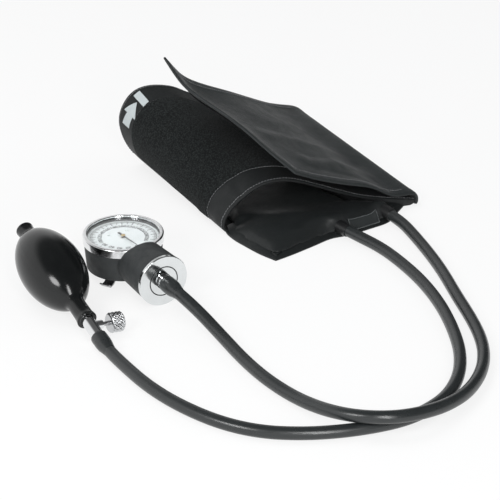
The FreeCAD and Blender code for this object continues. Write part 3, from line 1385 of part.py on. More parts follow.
os.makedirs("parts", exist_ok=True)
for thing, name, frame, at in nodes:
    thing.Shape.exportStep(f"parts/{name}.step")


def metres(vector):
    return [round(value / 1000, 6) for value in vector]


def in_row(frame, point):
    return metres(home.multVec(frames[frame].multVec(Vector(*[float(value) for value in point]))))


def way(frame, along):
    return [round(value, 6) for value in frames[frame].Rotation.multVec(Vector(*along))]


print("home", metres(home.Base), "lift of the bulb", round(frames["bulb"].Base.z, 3))
print("neck axis", way("gauge", (1, 0, 0)), "pointer", in_row("gauge", (0, 0, 0)),
      "sector", in_row("gauge", (d.sector_x, d.sector_y, 0)))
print("valve axis", way("bulb", (1, 0, 0)), "knob axis", way("bulb", (0, 1, 0)),
      "knob", in_row("bulb", (d.knob_station, 0, 0)))
hinge_way = frames["cuff"].Rotation.multVec(flap_hinge[1] - flap_hinge[0]).normalize()
print("flap hinge", metres(home.multVec(frames["cuff"].multVec(flap_hinge[0]))),
      [round(value, 6) for value in hinge_way])
for name, route in (("gauge_tube", gauge_route), ("bulb_tube", bulb_route)):
    print(name, [metres(home.multVec(point)) for point in route])
print("sub-parts", len(nodes), "solids", sum(len(thing.Shape.Solids) for thing, *rest in nodes))
for thing, name, frame, at in nodes:
    print(f"{name}: {thing.Shape.Volume:.1f} mm3, {len(thing.Shape.Solids)} solid(s)")
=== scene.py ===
"""Looks of an aneroid blood pressure set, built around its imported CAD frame."""

import math

import bpy
import numpy as np
from mathutils import Matrix, Vector, noise
from mathutils.bvhtree import BVHTree


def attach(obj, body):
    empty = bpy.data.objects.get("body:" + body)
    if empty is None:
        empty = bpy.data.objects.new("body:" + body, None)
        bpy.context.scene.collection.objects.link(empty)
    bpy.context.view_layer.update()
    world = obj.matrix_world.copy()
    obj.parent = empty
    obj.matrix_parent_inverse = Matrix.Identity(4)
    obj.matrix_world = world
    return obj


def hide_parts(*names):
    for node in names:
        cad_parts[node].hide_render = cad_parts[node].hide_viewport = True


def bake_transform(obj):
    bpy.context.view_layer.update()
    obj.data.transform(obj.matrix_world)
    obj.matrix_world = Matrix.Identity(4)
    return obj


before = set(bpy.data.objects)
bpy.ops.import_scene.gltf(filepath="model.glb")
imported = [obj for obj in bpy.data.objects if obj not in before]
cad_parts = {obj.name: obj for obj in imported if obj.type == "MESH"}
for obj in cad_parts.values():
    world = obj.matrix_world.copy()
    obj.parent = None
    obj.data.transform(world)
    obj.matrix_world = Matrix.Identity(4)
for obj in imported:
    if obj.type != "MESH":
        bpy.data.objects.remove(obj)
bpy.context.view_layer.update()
MM = 0.001

# ---------------------------------------------------------------- frames of the sub-assemblies


def placement(origin, x_axis, y_axis, z_axis):
    """A matrix from local millimetres to metres in the row frame."""
    turn = Matrix((x_axis, y_axis, z_axis)).transposed().to_4x4()
    return Matrix.Translation(Vector(origin)) @ turn @ Matrix.Scale(MM, 4)


def upright(origin, yaw):
    """The placement of a part that stands upright, turned by yaw degrees."""
    cosine, sine = math.cos(math.radians(yaw)), math.sin(math.radians(yaw))
    return placement(origin, (cosine, sine, 0), (-sine, cosine, 0), (0, 0, 1))


GAUGE = upright((-0.075477, -0.058211, 0.0), -57.5)
CUFF = upright((0.019723, -0.023611, 0.0), 18.308)
VALVE_AXIS = Vector((0.480176, -0.852176, -0.207912))
KNOB_AXIS = Vector((0.850438, 0.510347, -0.127674))
BULB = placement((-0.125277, -0.099811, 0.024622), VALVE_AXIS, KNOB_AXIS,
                 VALVE_AXIS.cross(KNOB_AXIS))

# ---------------------------------------------------------------- nodes and objects


def put(name, data):
    """A new object in the scene."""
    made = bpy.data.objects.new(name, data)
    bpy.context.collection.objects.link(made)
    return made


def add_node(tree, kind, operation=None, **inputs):
    """A shader node; an input goes by its socket's name, or by _ and its number."""
    made = tree.nodes.new("ShaderNode" + kind)
    if operation:
        made.operation = operation
    for socket, value in inputs.items():
        place = int(socket[1:]) if socket[0] == "_" else socket.replace("_", " ")
        if isinstance(value, bpy.types.NodeSocket):
            tree.links.new(value, made.inputs[place])
        else:
            made.inputs[place].default_value = value
    return made


def spread(tree, value, low, high, to_low, to_high):
    """A value's range low to high brought to another range."""
    return add_node(tree, "MapRange", Value=value, From_Min=low, From_Max=high, To_Min=to_low,
                    To_Max=to_high).outputs[0]


def color_ramp(tree, share, *stops):
    """Colours between (position, colour) stops."""
    ramp = add_node(tree, "ValToRGB", Fac=share)
    elements = ramp.color_ramp.elements
    while len(elements) < len(stops):
        elements.new(0.5)
    for element, (place, color) in zip(elements, stops):
        element.position = place
        element.color = (*color, 1)
    return ramp.outputs[0]


def camera_or(tree, other):
    """1 for camera rays and for one other kind of ray."""
    rays = add_node(tree, "LightPath").outputs
    return add_node(tree, "Math", "MAXIMUM", _0=rays["Is Camera Ray"], _1=rays[other]).outputs[0]


class Look:
    """A node material: a Principled shader with colour, roughness and bump made by nodes."""

    def __init__(self, name, color, roughness, **sockets):
        self.mat = bpy.data.materials.new(name)
        self.mat.use_nodes = True
        self.tree = self.mat.node_tree
        self.shader = self.tree.nodes["Principled BSDF"]
        self.shader.inputs["Base Color"].default_value = (*color, 1)
        self.shader.inputs["Roughness"].default_value = roughness
        for socket, value in sockets.items():
            self.shader.inputs[socket.replace("_", " ")].default_value = value
        self.height = None
        self.space = self.node("TexCoord").outputs["Object"]

    def node(self, kind, operation=None, **inputs):
        return add_node(self.tree, kind, operation, **inputs)

    def link(self, value, socket):
        self.tree.links.new(value, self.shader.inputs[socket])

    def math(self, operation, first, second):
        return self.node("Math", operation, _0=first, _1=second).outputs[0]

    def noise(self, size, detail=2.0, roughness=0.5):
        """Noise from 0 to 1 whose grain is about size metres."""
        return self.node("TexNoise", Vector=self.space, Scale=1.0 / size, Detail=detail,
                         Roughness=roughness).outputs[0]

    def cells(self, size):
        return self.node("TexVoronoi", Vector=self.space, Scale=1.0 / size).outputs["Distance"]

    def waves(self, size, direction, space=None):
        """Sine bands that repeat every size metres."""
        made = self.node("TexWave", Vector=space or self.space, Scale=0.3183 / size)
        made.bands_direction = direction
        return made.outputs["Fac"]

    def color(self, share, *stops):
        self.link(color_ramp(self.tree, share, *stops), "Base Color")

    def rough(self, value, low, high, to_low, to_high):
        self.link(spread(self.tree, value, low, high, to_low, to_high), "Roughness")

    def bump(self, height, depth, strength=1.0):
        """Bump of the given depth in metres, on top of any made before."""
        made = self.node("Bump", Strength=strength, Distance=depth, Height=height)
        if self.height is not None:
            self.tree.links.new(self.height, made.inputs["Normal"])
        self.height = made.outputs[0]
        self.link(self.height, "Normal")

    def mix_in(self, share, other):
        """Mixes another shader into the surface."""
        mix = self.node("MixShader", _0=share, _1=self.shader.outputs[0], _2=other.outputs[0])
        self.tree.links.new(mix.outputs[0], self.tree.nodes["Material Output"].inputs[0])


# ---------------------------------------------------------------- camera, floor and light

MIRRORED_SKY = ((0.0, 0.95), (0.26, 0.9), (0.5, 0.14), (1.0, 0.06))   # place, level of grey
SKY_UP, DARK_WAY = (0.35, -0.12, 0.93), (0.52, 0.79, 0.33)
FLOOR_HALF = 4.0
FLOOR_GLOW = 0.8       # the share of the floor that is plain white to the camera and in mirrors
LAMPS = (              # name, place, target, size, power, shape, whether mirrors show it
    ("key", (-0.55, 0.35, 1.25), (0, 0, 0), (1.1, 0.9), 7.0, "ELLIPSE", False),
    ("side", (1.1, 0.25, 0.75), (0, 0, 0.03), (0.5, 0.9), 3.0, "RECTANGLE", False),
    ("front_left", (-0.60, -0.80, 0.66), (-0.12, -0.1, 0.03), (0.46, 0.34), 4.0, "ELLIPSE", True),
    ("front_right", (0.22, -1.0, 0.50), (-0.12, -0.1, 0.03), (0.24, 0.7), 4.4, "ELLIPSE", True))


def make_camera():
    """The photograph's view, with a long lens from 28 degrees above."""
    data = bpy.data.cameras.new("camera")
    data.lens = 129.6
    data.sensor_width = 36.0
    camera = put("camera", data)
    camera.location = (0.019723, -1.25692, 0.65576)
    camera.rotation_euler = (math.radians(62.0), 0, 0)
    bpy.context.scene.camera = camera


def area_light(name, place, target, size, power, shape, mirrored):
    data = bpy.data.lights.new(name, "AREA")
    data.shape = shape
    data.size, data.size_y = size
    data.energy = power
    light = put(name, data)
    light.location = place
    light.rotation_euler = (Vector(target) - Vector(place)).to_track_quat("-Z", "Y").to_euler()
    light.visible_glossy = mirrored


def make_world():
    """Plain to the camera, a grey sky with a dark patch in mirrors, and a faint fill."""
    world = bpy.data.worlds.new("studio")
    bpy.context.scene.world = world
    world.use_nodes = True
    tree = world.node_tree
    fill = tree.nodes["Background"]
    fill.inputs["Color"].default_value = (0.95, 0.975, 1.0, 1)
    fill.inputs["Strength"].default_value = 0.34
    place = add_node(tree, "TexCoord").outputs["Generated"]
    up, dark = [add_node(tree, "VectorMath", "DOT_PRODUCT", _0=place, _1=way).outputs["Value"]
                for way in (SKY_UP, DARK_WAY)]
    sky = color_ramp(tree, up, *[(stop, (level,) * 3) for stop, level in MIRRORED_SKY])
    mirrored = add_node(tree, "Background", Color=sky,
                        Strength=spread(tree, dark, 0.86, 0.95, 1.0, 0.12))
    glossy = add_node(tree, "LightPath").outputs["Is Glossy Ray"]
    lit = add_node(tree, "MixShader", _0=glossy, _1=fill.outputs[0], _2=mirrored.outputs[0])
    shown = add_node(tree, "Background")
    mix = add_node(tree, "MixShader", _0=camera_or(tree, "Is Transmission Ray"),
                   _1=lit.outputs[0], _2=shown.outputs[0])
    tree.links.new(mix.outputs[0], tree.nodes["World Output"].inputs[0])


def make_floor():
    """A white table that keeps the object's shadow."""
    mesh = bpy.data.meshes.new("floor")
    corners = [(x * FLOOR_HALF, y * FLOOR_HALF, 0) for x, y in ((-1, -1), (1, -1), (1, 1), (-1, 1))]
    mesh.from_pydata(corners, [], [(0, 1, 2, 3)])
    floor = put("floor", mesh)
    look = Look("floor_white", (0.9, 0.9, 0.9), 0.85, Specular_IOR_Level=0.15)
    look.mix_in(look.math("MULTIPLY", camera_or(look.tree, "Is Glossy Ray"), FLOOR_GLOW),
                look.node("Emission"))
    mesh.materials.append(look.mat)


bpy.context.scene.view_settings.view_transform = "Standard"
make_camera()
make_world()
make_floor()
for lamp in LAMPS:
    area_light(*lamp)

# ---------------------------------------------------------------- materials


def scaled(color, share, more=0.0):
    return tuple(c * share + more for c in color)


def chrome(name, tint, roughness):
    look = Look(name, tint, roughness, Metallic=1.0)
    look.rough(look.noise(0.006, 4.0), 0.35, 0.75, roughness * 0.6, roughness * 1.9)
    look.color(look.noise(0.011, 3.0), (0.3, tint), (0.75, scaled(tint, 0.93)))
    look.bump(look.noise(0.0018, 2.0), 0.000012)
    return look.mat


def plain_rubber(name, color, roughness, grain, relief=0.008, **sockets):
    """Rubber or paint with a little dust; relief is the grain's depth over its size."""
    look = Look(name, color, roughness, **sockets)
    look.color(look.noise(0.012, 3.0), (0.3, color), (0.8, scaled(color, 1.2, 0.001)))
    look.rough(look.noise(0.009, 3.0), 0.3, 0.75, roughness * 0.9, roughness * 1.15)
    look.bump(look.noise(grain, 1.0), grain * relief)
    return look.mat


def turned_metal(name, color, roughness, lines=0.0002):
    look = Look(name, color, roughness, Metallic=1.0)
    look.color(look.noise(0.003, 4.0), (0.3, color), (0.8, scaled(color, 0.82)))
    look.rough(look.noise(0.0015, 3.0), 0.3, 0.8, roughness * 0.7, roughness * 1.5)
    look.bump(look.noise(lines, 1.0), lines * 0.04)
    return look.mat


def moulded_case():
    look = Look("case_matte", (0.032, 0.035, 0.036), 0.62, Specular_IOR_Level=0.4)
    look.color(look.noise(0.012, 4.0), (0.3, (0.026, 0.029, 0.030)), (0.75, (0.041, 0.045, 0.046)))
    look.rough(look.noise(0.005, 4.0), 0.3, 0.75, 0.52, 0.72)
    look.bump(look.cells(0.0007), 0.00012)
    look.bump(look.noise(0.00035, 2.0), 0.00006)
    return look.mat


def dial_enamel():
    look = Look("dial_enamel", (0.57, 0.605, 0.60), 0.35)
    look.color(look.noise(0.014, 3.0), (0.3, (0.57, 0.605, 0.60)), (0.8, (0.53, 0.565, 0.56)))
    look.rough(look.noise(0.004, 3.0), 0.3, 0.75, 0.28, 0.42)
    look.bump(look.noise(0.0009, 2.0), 0.00001)
    return look.mat


def clear_glass():
    look = Look("crystal_glass", (0.98, 0.99, 1.0), 0.02, Transmission_Weight=1.0, IOR=1.46)
    look.rough(look.noise(0.005, 3.0), 0.5, 0.8, 0.015, 0.05)
    look.mix_in(look.node("LightPath").outputs["Is Shadow Ray"], look.node("BsdfTransparent"))
    return look.mat


def woven(name, color, light, roughness, thread, sheen, coat=0.0):
    """Plain woven nylon: two sets of threads, a soft sheen and a slightly uneven dye."""
    look = Look(name, color, roughness, Sheen_Weight=sheen, Sheen_Roughness=0.45,
                Coat_Weight=coat, Coat_Roughness=0.35, Specular_IOR_Level=0.35)
    space = look.node("UVMap").outputs["UV"]
    weave = look.math("MULTIPLY", look.waves(thread, "X", space), look.waves(thread, "Y", space))
    patch = look.noise(0.03, 4.0, 0.6)
    both = look.math("ADD", look.math("MULTIPLY", patch, 0.8), look.math("MULTIPLY", weave, 0.2))
    look.color(both, (0.25, color), (0.8, light))
    look.rough(look.noise(0.008, 4.0), 0.3, 0.75, roughness * 0.9, roughness * 1.12)
    look.bump(look.noise(0.009, 4.0, 0.6), 0.0006, 0.6)
    look.bump(weave, thread * 0.22, 0.5)
    return look.mat


def fuzzy(name, color, light, loop):
    """A pile of fine loops: matte, with a faint speckle."""
    look = Look(name, color, 0.95, Sheen_Weight=0.04, Sheen_Roughness=0.6, Specular_IOR_Level=0.1)
    tufts = look.cells(loop)
    speck = look.noise(loop * 0.8, 4.0, 0.8)
    look.color(look.math("MULTIPLY", speck, look.math("SUBTRACT", 1.1, tufts)),
               (0.25, color), (0.6, light))
    look.bump(tufts, loop * 0.4, 0.7)
    look.bump(speck, loop * 0.5, 0.8)
    return look.mat


def sewing_thread():
    look = Look("thread_grey", (0.16, 0.165, 0.17), 0.6, Sheen_Weight=0.2)
    look.color(look.noise(0.0012, 3.0), (0.3, (0.12, 0.125, 0.13)), (0.75, (0.2, 0.205, 0.21)))
    look.bump(look.waves(0.00025, "DIAGONAL"), 0.00005)
    return look.mat


CHROME = chrome("chrome_plate", (0.86, 0.87, 0.88), 0.07)
CAP_PLATE = chrome("chrome_cap", (0.79, 0.815, 0.82), 0.1)
BEZEL_PLATE = chrome("chrome_bezel", (0.86, 0.87, 0.88), 0.16)
KNOB_METAL = chrome("knob_nickel", (0.6, 0.61, 0.62), 0.1)
BRASS = turned_metal("brass_plate", (0.66, 0.48, 0.22), 0.3)
STEEL = turned_metal("steel_turned", (0.52, 0.52, 0.53), 0.28)
BRONZE = turned_metal("bronze_strip", (0.6, 0.42, 0.24), 0.3)
CLIP = turned_metal("clip_strip", (0.42, 0.42, 0.43), 0.34, 0.0004)
CASE = moulded_case()
DIAL = dial_enamel()
GLASS = clear_glass()
TUBE = plain_rubber("tube_satin", (0.0180, 0.0207, 0.0214), 0.29, 0.012, 0.001,
                    Specular_IOR_Level=0.65)
SEAL = plain_rubber("seal_rubber", (0.014, 0.014, 0.015), 0.5, 0.0005)
POINTER = plain_rubber("pointer_enamel", (0.012, 0.012, 0.013), 0.35, 0.0004)
DIAL_INK = plain_rubber("dial_ink", (0.012, 0.013, 0.015), 0.5, 0.0004)
BULB_RUBBER = plain_rubber("bulb_gloss", (0.0052, 0.0060, 0.0062), 0.15, 0.0011,
                           Specular_IOR_Level=0.5)
PORT_RUBBER = plain_rubber("port_rubber", (0.010, 0.0105, 0.011), 0.34, 0.003)
WELD = plain_rubber("weld_film", (0.025, 0.0285, 0.029), 0.36, 0.004, 0.006)
BEAD = plain_rubber("weld_bead", (0.100, 0.110, 0.112), 0.34, 0.002, 0.004)
NYLON = woven("nylon_sleeve", (0.0088, 0.0102, 0.0106), (0.0142, 0.0163, 0.0168), 0.62, 0.0005,
              0.02)
# The flap is the sleeve's own nylon, made about twice as light: the extra lightness is painted
# sheen from the light above.
FLAP_NYLON_PAINTED_SHEEN = woven("nylon_flap_painted_sheen", (0.0185, 0.0218, 0.0224), (0.0288, 0.0330, 0.0338), 0.52, 0.0005,
                   0.03)
PANEL_NYLON = woven("nylon_panel", (0.0106, 0.0125, 0.0128), (0.0168, 0.0193, 0.0198), 0.44, 0.0004,
                    0.02, 0.06)
MARK_WHITE = woven("mark_white", (0.52, 0.57, 0.58), (0.62, 0.67, 0.68), 0.6, 0.0005, 0.05)
LOOPS = fuzzy("loop_pile", (0.0074, 0.0086, 0.0088), (0.036, 0.042, 0.0415), 0.0012)
HOOKS = fuzzy("hook_pile", (0.008, 0.008, 0.009), (0.03, 0.03, 0.032), 0.0013)
THREAD = sewing_thread()

CAD_LOOKS = (
    (CASE, "gauge_case"), (BEZEL_PLATE, "bezel_ring"), (CAP_PLATE, "end_cap lock_ring"),
    (GLASS, "crystal"), (DIAL, "dial_plate dial_screws"), (POINTER, "pointer_needle"),
    (CHROME, "hose_nozzle valve_barrel valve_gland thumb_knob"), (CLIP, "back_clip"),
    (BRASS, "sector_gear movement_frame movement_bridge pointer_hub pin_guide"),
    (BRASS, "inlet_fitting inlet_retainer outlet_seat"), (BRONZE, "hairspring bellows"),
    (STEEL, "sector_shaft pinion_arbor bridge_screws bellows_plate push_pin"),
    (STEEL, "clip_screws release_needle"), (SEAL, "crystal_gasket cap_gasket gland_seal"),
    (SEAL, "inlet_disc outlet_disc inflation_bladder"))
for cad_look, cad_names in CAD_LOOKS:
    for cad_name in cad_names.split():
        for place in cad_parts[cad_name].material_slots:
            place.material = cad_look

# ---------------------------------------------------------------- mesh helpers


def add_piece(name, points, faces, mat, body, uvs=None):
    """A smooth mesh piece in the row frame; uvs gives one place per corner of each face."""
    mesh = bpy.data.meshes.new(name)
    mesh.from_pydata([tuple(point) for point in points], [], faces)
    if uvs is not None:
        layer = mesh.uv_layers.new(name="UVMap")
        flat = [number for face in uvs for place in face for number in place]
        layer.data.foreach_set("uv", flat)
    mesh.polygons.foreach_set("use_smooth", [True] * len(mesh.polygons))
    mesh.materials.append(mat)
    mesh.update()
    piece = put(name, mesh)
    if body is not None:
        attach(piece, body)
    return piece


def shown_mesh(piece):
    """A new mesh of what an object shows, with its modifiers or its curve's settings."""
    graph = bpy.context.evaluated_depsgraph_get()
    return bpy.data.meshes.new_from_object(piece.evaluated_get(graph))


def run_lengths(points, closed=False):
    """Distance of each point from the first along a row of points."""
    steps = np.linalg.norm(np.diff(points, axis=0), axis=1)
    if closed:
        steps = np.append(steps, np.linalg.norm(points[0] - points[-1]))
    return np.concatenate([[0.0], np.cumsum(steps)])


def along_line(line, lengths, distance):
    """The point at a distance along a line of points."""
    return np.array([np.interp(distance, lengths, line[:, axis]) for axis in range(3)])


def ring_faces(rows, columns, closed_rows, closed_columns, lengths=None, widths=None):
    """Faces and face places of a grid of points that may close on itself either way."""
    faces, uvs = [], []
    for row in range(rows if closed_rows else rows - 1):
        for column in range(columns if closed_columns else columns - 1):
            corners = ((row, column), (row, column + 1), (row + 1, column + 1), (row + 1, column))
            faces.append([(r % rows) * columns + c % columns for r, c in corners])
            if lengths is not None:
                uvs.append([(widths[c], lengths[r]) for r, c in corners])
    return faces, uvs


def tube_faces(rows, columns):
    """Faces of a tube of rows, with one across each end."""
    last = (rows - 1) * columns
    return ring_faces(rows, columns, False, True)[0] + [list(range(columns))[::-1],
                                                        list(range(last, last + columns))]


def turned_over(faces):
    return [face[::-1] for face in faces]


def surface_normals(grid):
    """Unit normals of an open grid of points."""
    normals = np.cross(np.gradient(grid, axis=1), np.gradient(grid, axis=0))
    return normals / np.linalg.norm(normals, axis=2, keepdims=True)


def sheet_piece(name, grid, thickness, mat, body):
    """A sheet with rounded edges; the grid is its middle and the thickness may vary over it."""
    rows, columns = grid.shape[:2]
    half = np.broadcast_to(np.asarray(thickness, float) / 2, (rows, columns))[..., None]
    normals = surface_normals(grid)
    edge = [(0, c) for c in range(columns)] + [(r, columns - 1) for r in range(1, rows)]
    edge += [(rows - 1, c) for c in range(columns - 2, -1, -1)]
    edge += [(r, 0) for r in range(rows - 2, 0, -1)]
    ring = []
    for r, c in edge:
        out = grid[r, c] - grid[min(max(r, 1), rows - 2), min(max(c, 1), columns - 2)]
        out -= normals[r, c] * np.dot(out, normals[r, c])
        out /= max(np.linalg.norm(out), 1e-9)
        ring.append(grid[r, c] + out * half[r, c, 0])
    count = rows * columns
    points = np.concatenate([(grid + normals * half).reshape(-1, 3),
                             (grid - normals * half).reshape(-1, 3), np.array(ring)])
    places = [(width, length) for length in run_lengths(grid[:, columns // 2])
              for width in run_lengths(grid[rows // 2])]
    top = ring_faces(rows, columns, False, False)[0]
    uvs = [[places[corner] for corner in face] for face in top + turned_over(top)]
    faces = top + [[corner + count for corner in face[::-1]] for face in top]
    for index, (r, c) in enumerate(edge):
        after = (index + 1) % len(edge)
        here, there = r * columns + c, edge[after][0] * columns + edge[after][1]
        spot, spot_after = 2 * count + index, 2 * count + after
        faces += [[there, here, spot, spot_after], [spot_after, spot, here + count, there + count]]
        uvs += [[places[there], places[here], places[here], places[there]]] * 2
    return add_piece(name, points, faces, mat, body, uvs)


def natural_spline(knots, values, wanted):
    """A natural cubic spline through values at knots, at the wanted places."""
    knots, values = np.asarray(knots, float), np.asarray(values, float)
    shape = values.shape[1:]
    values = values.reshape(len(knots), -1)
    gaps = np.diff(knots)
    size = len(knots)
    matrix, right = np.eye(size), np.zeros((size, values.shape[1]))
    for i in range(1, size - 1):
        matrix[i, i - 1:i + 2] = gaps[i - 1], 2 * (gaps[i - 1] + gaps[i]), gaps[i]
        right[i] = 6 * ((values[i + 1] - values[i]) / gaps[i]
                        - (values[i] - values[i - 1]) / gaps[i - 1])
    bend = np.linalg.solve(matrix, right)
    wanted = np.asarray(wanted, float)
    low = np.clip(np.searchsorted(knots, wanted) - 1, 0, size - 2)
    gap = gaps[low][:, None]
    before, after = (wanted - knots[low])[:, None], (knots[low + 1] - wanted)[:, None]
    result = (bend[low] * after ** 3 + bend[low + 1] * before ** 3) / (6 * gap)
    result += (values[low] / gap - bend[low] * gap / 6) * after
    result += (values[low + 1] / gap - bend[low + 1] * gap / 6) * before
    return result.reshape((len(wanted),) + shape)


def to_row(frame_matrix, points):
    """Local millimetres to metres in the row frame, for an array of points."""
    matrix = np.array(frame_matrix)
    return np.asarray(points, float) @ matrix[:3, :3].T + matrix[:3, 3]


def smooth_step(value):
    value = np.clip(value, 0, 1)
    return value * value * (3 - 2 * value)


def noise_at(points, size, seed):
    """Smooth noise from -1 to 1 at each point of an array in millimetres."""
    flat = np.asarray(points, float).reshape(-1, 3)
    move = Vector((seed * 17.3, seed * 5.1, seed * 9.7))
    values = [noise.noise(Vector(point) / size + move) for point in flat]
    return np.array(values).reshape(np.asarray(points).shape[:-1])


STITCH_SIDES = 5
STITCH_RINGS = (       # share of the length, lift and size over the thread's radius
    (0, -0.8, 0.5), (0.18, 0.3, 1), (0.5, 0.6, 1), (0.82, 0.3, 1), (1, -0.8, 0.5))


def stitches(name, line, normals, body, mat, pitch=0.0025, length=0.0021, radius=0.00034):
    """A row of sewn stitches, each a short raised thread, along a line of points."""
    line, normals = np.asarray(line, float), np.asarray(normals, float)
    lengths = run_lengths(line)
    shape = tube_faces(len(STITCH_RINGS), STITCH_SIDES)
    points, faces = [], []
    for number in range(int(lengths[-1] / pitch)):
        faces += [[len(points) + corner for corner in face] for face in shape]
        for share, lift, size in STITCH_RINGS:
            distance = number * pitch + length * share
            place = along_line(line, lengths, distance)
            normal = along_line(normals, lengths, distance)
            normal /= np.linalg.norm(normal)
            side = np.cross(normal, along_line(line, lengths, distance + 0.0002) - place)
            side /= max(np.linalg.norm(side), 1e-12)
            for turn in range(STITCH_SIDES):
                angle = 2 * math.pi * turn / STITCH_SIDES
                points.append(place + normal * radius * (lift + size * math.sin(angle))
                              + side * radius * size * math.cos(angle))
    add_piece(name, points, faces, mat, body)


def lathe(name, frame_matrix, profile, mat, body, sides=96, relief=None):
    """A closed profile of (radius, distance) turned about the frame's own X axis.

    relief(radius, distance, angle) is what a point's radius grows by.
    """
    profile = np.asarray(profile, float)
    points = []
    for turn in range(sides):
        angle = 2 * math.pi * turn / sides
        for radius, along in profile:
            size = radius + (relief(radius, along, angle) if relief else 0.0)
            points.append((along, size * math.cos(angle), size * math.sin(angle)))
    faces, uvs = ring_faces(sides, len(profile), True, True,
                            np.arange(sides + 1) / sides, run_lengths(profile, True))
    return add_piece(name, to_row(frame_matrix, points), faces, mat, body, uvs)


def rounded(points, steps):
    """A polyline whose corners are cut back step by step, which rounds them."""
    for step in range(steps):
        cut = [points[0]]
        for a, b in zip(points, points[1:]):
            a, b = np.array(a), np.array(b)
            cut += [tuple(a * 0.75 + b * 0.25), tuple(a * 0.25 + b * 0.75)]
        points = cut + [points[-1]]
    return points


# ---------------------------------------------------------------- cuff: sleeve and loop pad

NEAR_V, CUFF_WIDTH = 32.9, 145.0
RIMS = np.array([      # near u, z and far u, z, from the underside up round the fold and over
    (148.0, 0.0, 55.0, 0.0), (150.3, 0.9, 80.0, 9.0), (152.0, 3.0, 96.0, 22.0),
    (151.7, 5.0, 101.8, 28.3), (148.0, 6.0, 100.6, 32.0), (130.0, 9.2, 92.0, 36.5),
    (109.0, 14.0, 75.0, 41.0), (93.0, 20.0, 60.0, 44.7), (71.0, 29.5, 44.0, 48.5),
    (46.0, 39.0, 25.0, 55.0), (27.0, 40.5, 2.6, 61.2), (18.0, 38.3, -10.0, 68.0),
    (10.0, 34.0, -25.0, 71.3), (1.0, 27.7, -38.6, 70.2), (-6.0, 21.0, -49.2, 62.8),
    (-10.3, 14.5, -56.6, 48.5), (-12.2, 8.0, -56.0, 33.0), (-11.4, 3.2, -48.8, 16.0),
    (-8.0, 0.0, -35.6, 0.0)])
HOLLOW_RIGHT = [       # the inner loop's first corners, beside the folded layers
    (112.0, 2.6, 52.0, 2.6), (111.6, 4.0, 59.0, 6.0), (111.2, 5.5, 66.0, 9.5),
    (110.8, 7.0, 73.0, 13.0), (110.5, 8.3, 80.5, 22.5), (110.0, 9.6, 88.0, 32.0)]
HOLLOW_LEFT = (-6.8, 2.6, -34.4, 2.6)
FABRIC = 2.6
AROUND, ALONG, FLOOR_STEPS = 150, 60, 30
steps = np.hypot(np.diff(RIMS[:, 0]), np.diff(RIMS[:, 1]))
steps += np.hypot(np.diff(RIMS[:, 2]), np.diff(RIMS[:, 3]))
CORNERS = np.concatenate([[0.0], np.cumsum(steps)]) / steps.sum()
LOOP_RANGE = (6.3, 16.85)        # the pad's ends, counted in corners of the rims
BORDER = 20.0
RIM_BULGE = 0.9
TUFT_HEIGHT, TUFT_SIZE = 0.05, 2.6
SEAM_END = 0.965
PAD_SEAM = (BORDER - 0.5) / CUFF_WIDTH


def rim_points(corners, wanted, share):
    """Points (u, z) of a loop's curved part at a share of the way from near to far."""
    mixed = corners[:, :2] + (corners[:, 2:] - corners[:, :2]) * share
    return natural_spline(CORNERS, mixed, wanted)


def rim_normals(share, wanted):
    """Outward unit normals (u, z) of the sleeve's outside."""
    along = rim_points(RIMS, wanted + 1e-4, share) - rim_points(RIMS, wanted - 1e-4, share)
    along /= np.linalg.norm(along, axis=1, keepdims=True)
    return np.stack([along[:, 1], -along[:, 0]], axis=1)


def at_depth(flat, depth):
    """Cuff places (u, v, z) from (u, z) at one depth v."""
    return np.column_stack([flat[:, 0], np.full(len(flat), depth), flat[:, 1]])


def sleeve_wave(points):
    """Soft unevenness of the sleeve's cloth, in millimetres, none where it lies on the table."""
    wave = 0.55 * noise_at(points, 34.0, 1) + 0.22 * noise_at(points, 13.0, 2)
    near_fold = 1 - smooth_step((points[..., 1] - NEAR_V - 18.0) / 34.0)
    near_fold *= 1 - smooth_step((points[..., 0] - 4.0) / 12.0)
    wave += 0.95 * noise_at(points, 8.5, 9) * near_fold
    return wave * smooth_step((points[..., 2] - 1.0) / 8.0)


def sleeve_outside(share, wanted, lift=0.0):
    """Points of the sleeve's outside, in cuff millimetres."""
    points = at_depth(rim_points(RIMS, wanted, share), NEAR_V + CUFF_WIDTH * share)
    out = at_depth(rim_normals(share, wanted), 0.0)
    return points + out * (sleeve_wave(points) + lift)[:, None]


def inner_corners():
    """The inner loop's corners; past the folded layers they are the outside's, moved in."""
    inner = list(HOLLOW_RIGHT)
    near, far = rim_normals(0.0, CORNERS), rim_normals(1.0, CORNERS)
    for index in range(len(HOLLOW_RIGHT), len(RIMS) - 1):
        corner = RIMS[index]
        inner.append((*(corner[:2] - near[index] * FABRIC), *(corner[2:] - far[index] * FABRIC)))
    return np.array(inner + [HOLLOW_LEFT])


def with_floor(curved):
    """A loop's curved part closed by its straight run along the table."""
    shares = np.linspace(0, 1, FLOOR_STEPS + 1)[1:-1, None]
    return np.concatenate([curved, curved[-1] + (curved[0] - curved[-1]) * shares])


def rim_rows(before, after, bulge):
    """Rows round a rim, from one side of the cloth to the other."""
    rows = []
    for turn in (0.25, 0.5, 0.75):
        row = before * (1 - turn) + after * turn
        row[:, 1] += bulge * math.sin(math.pi * turn)
        rows.append(row)
    return rows


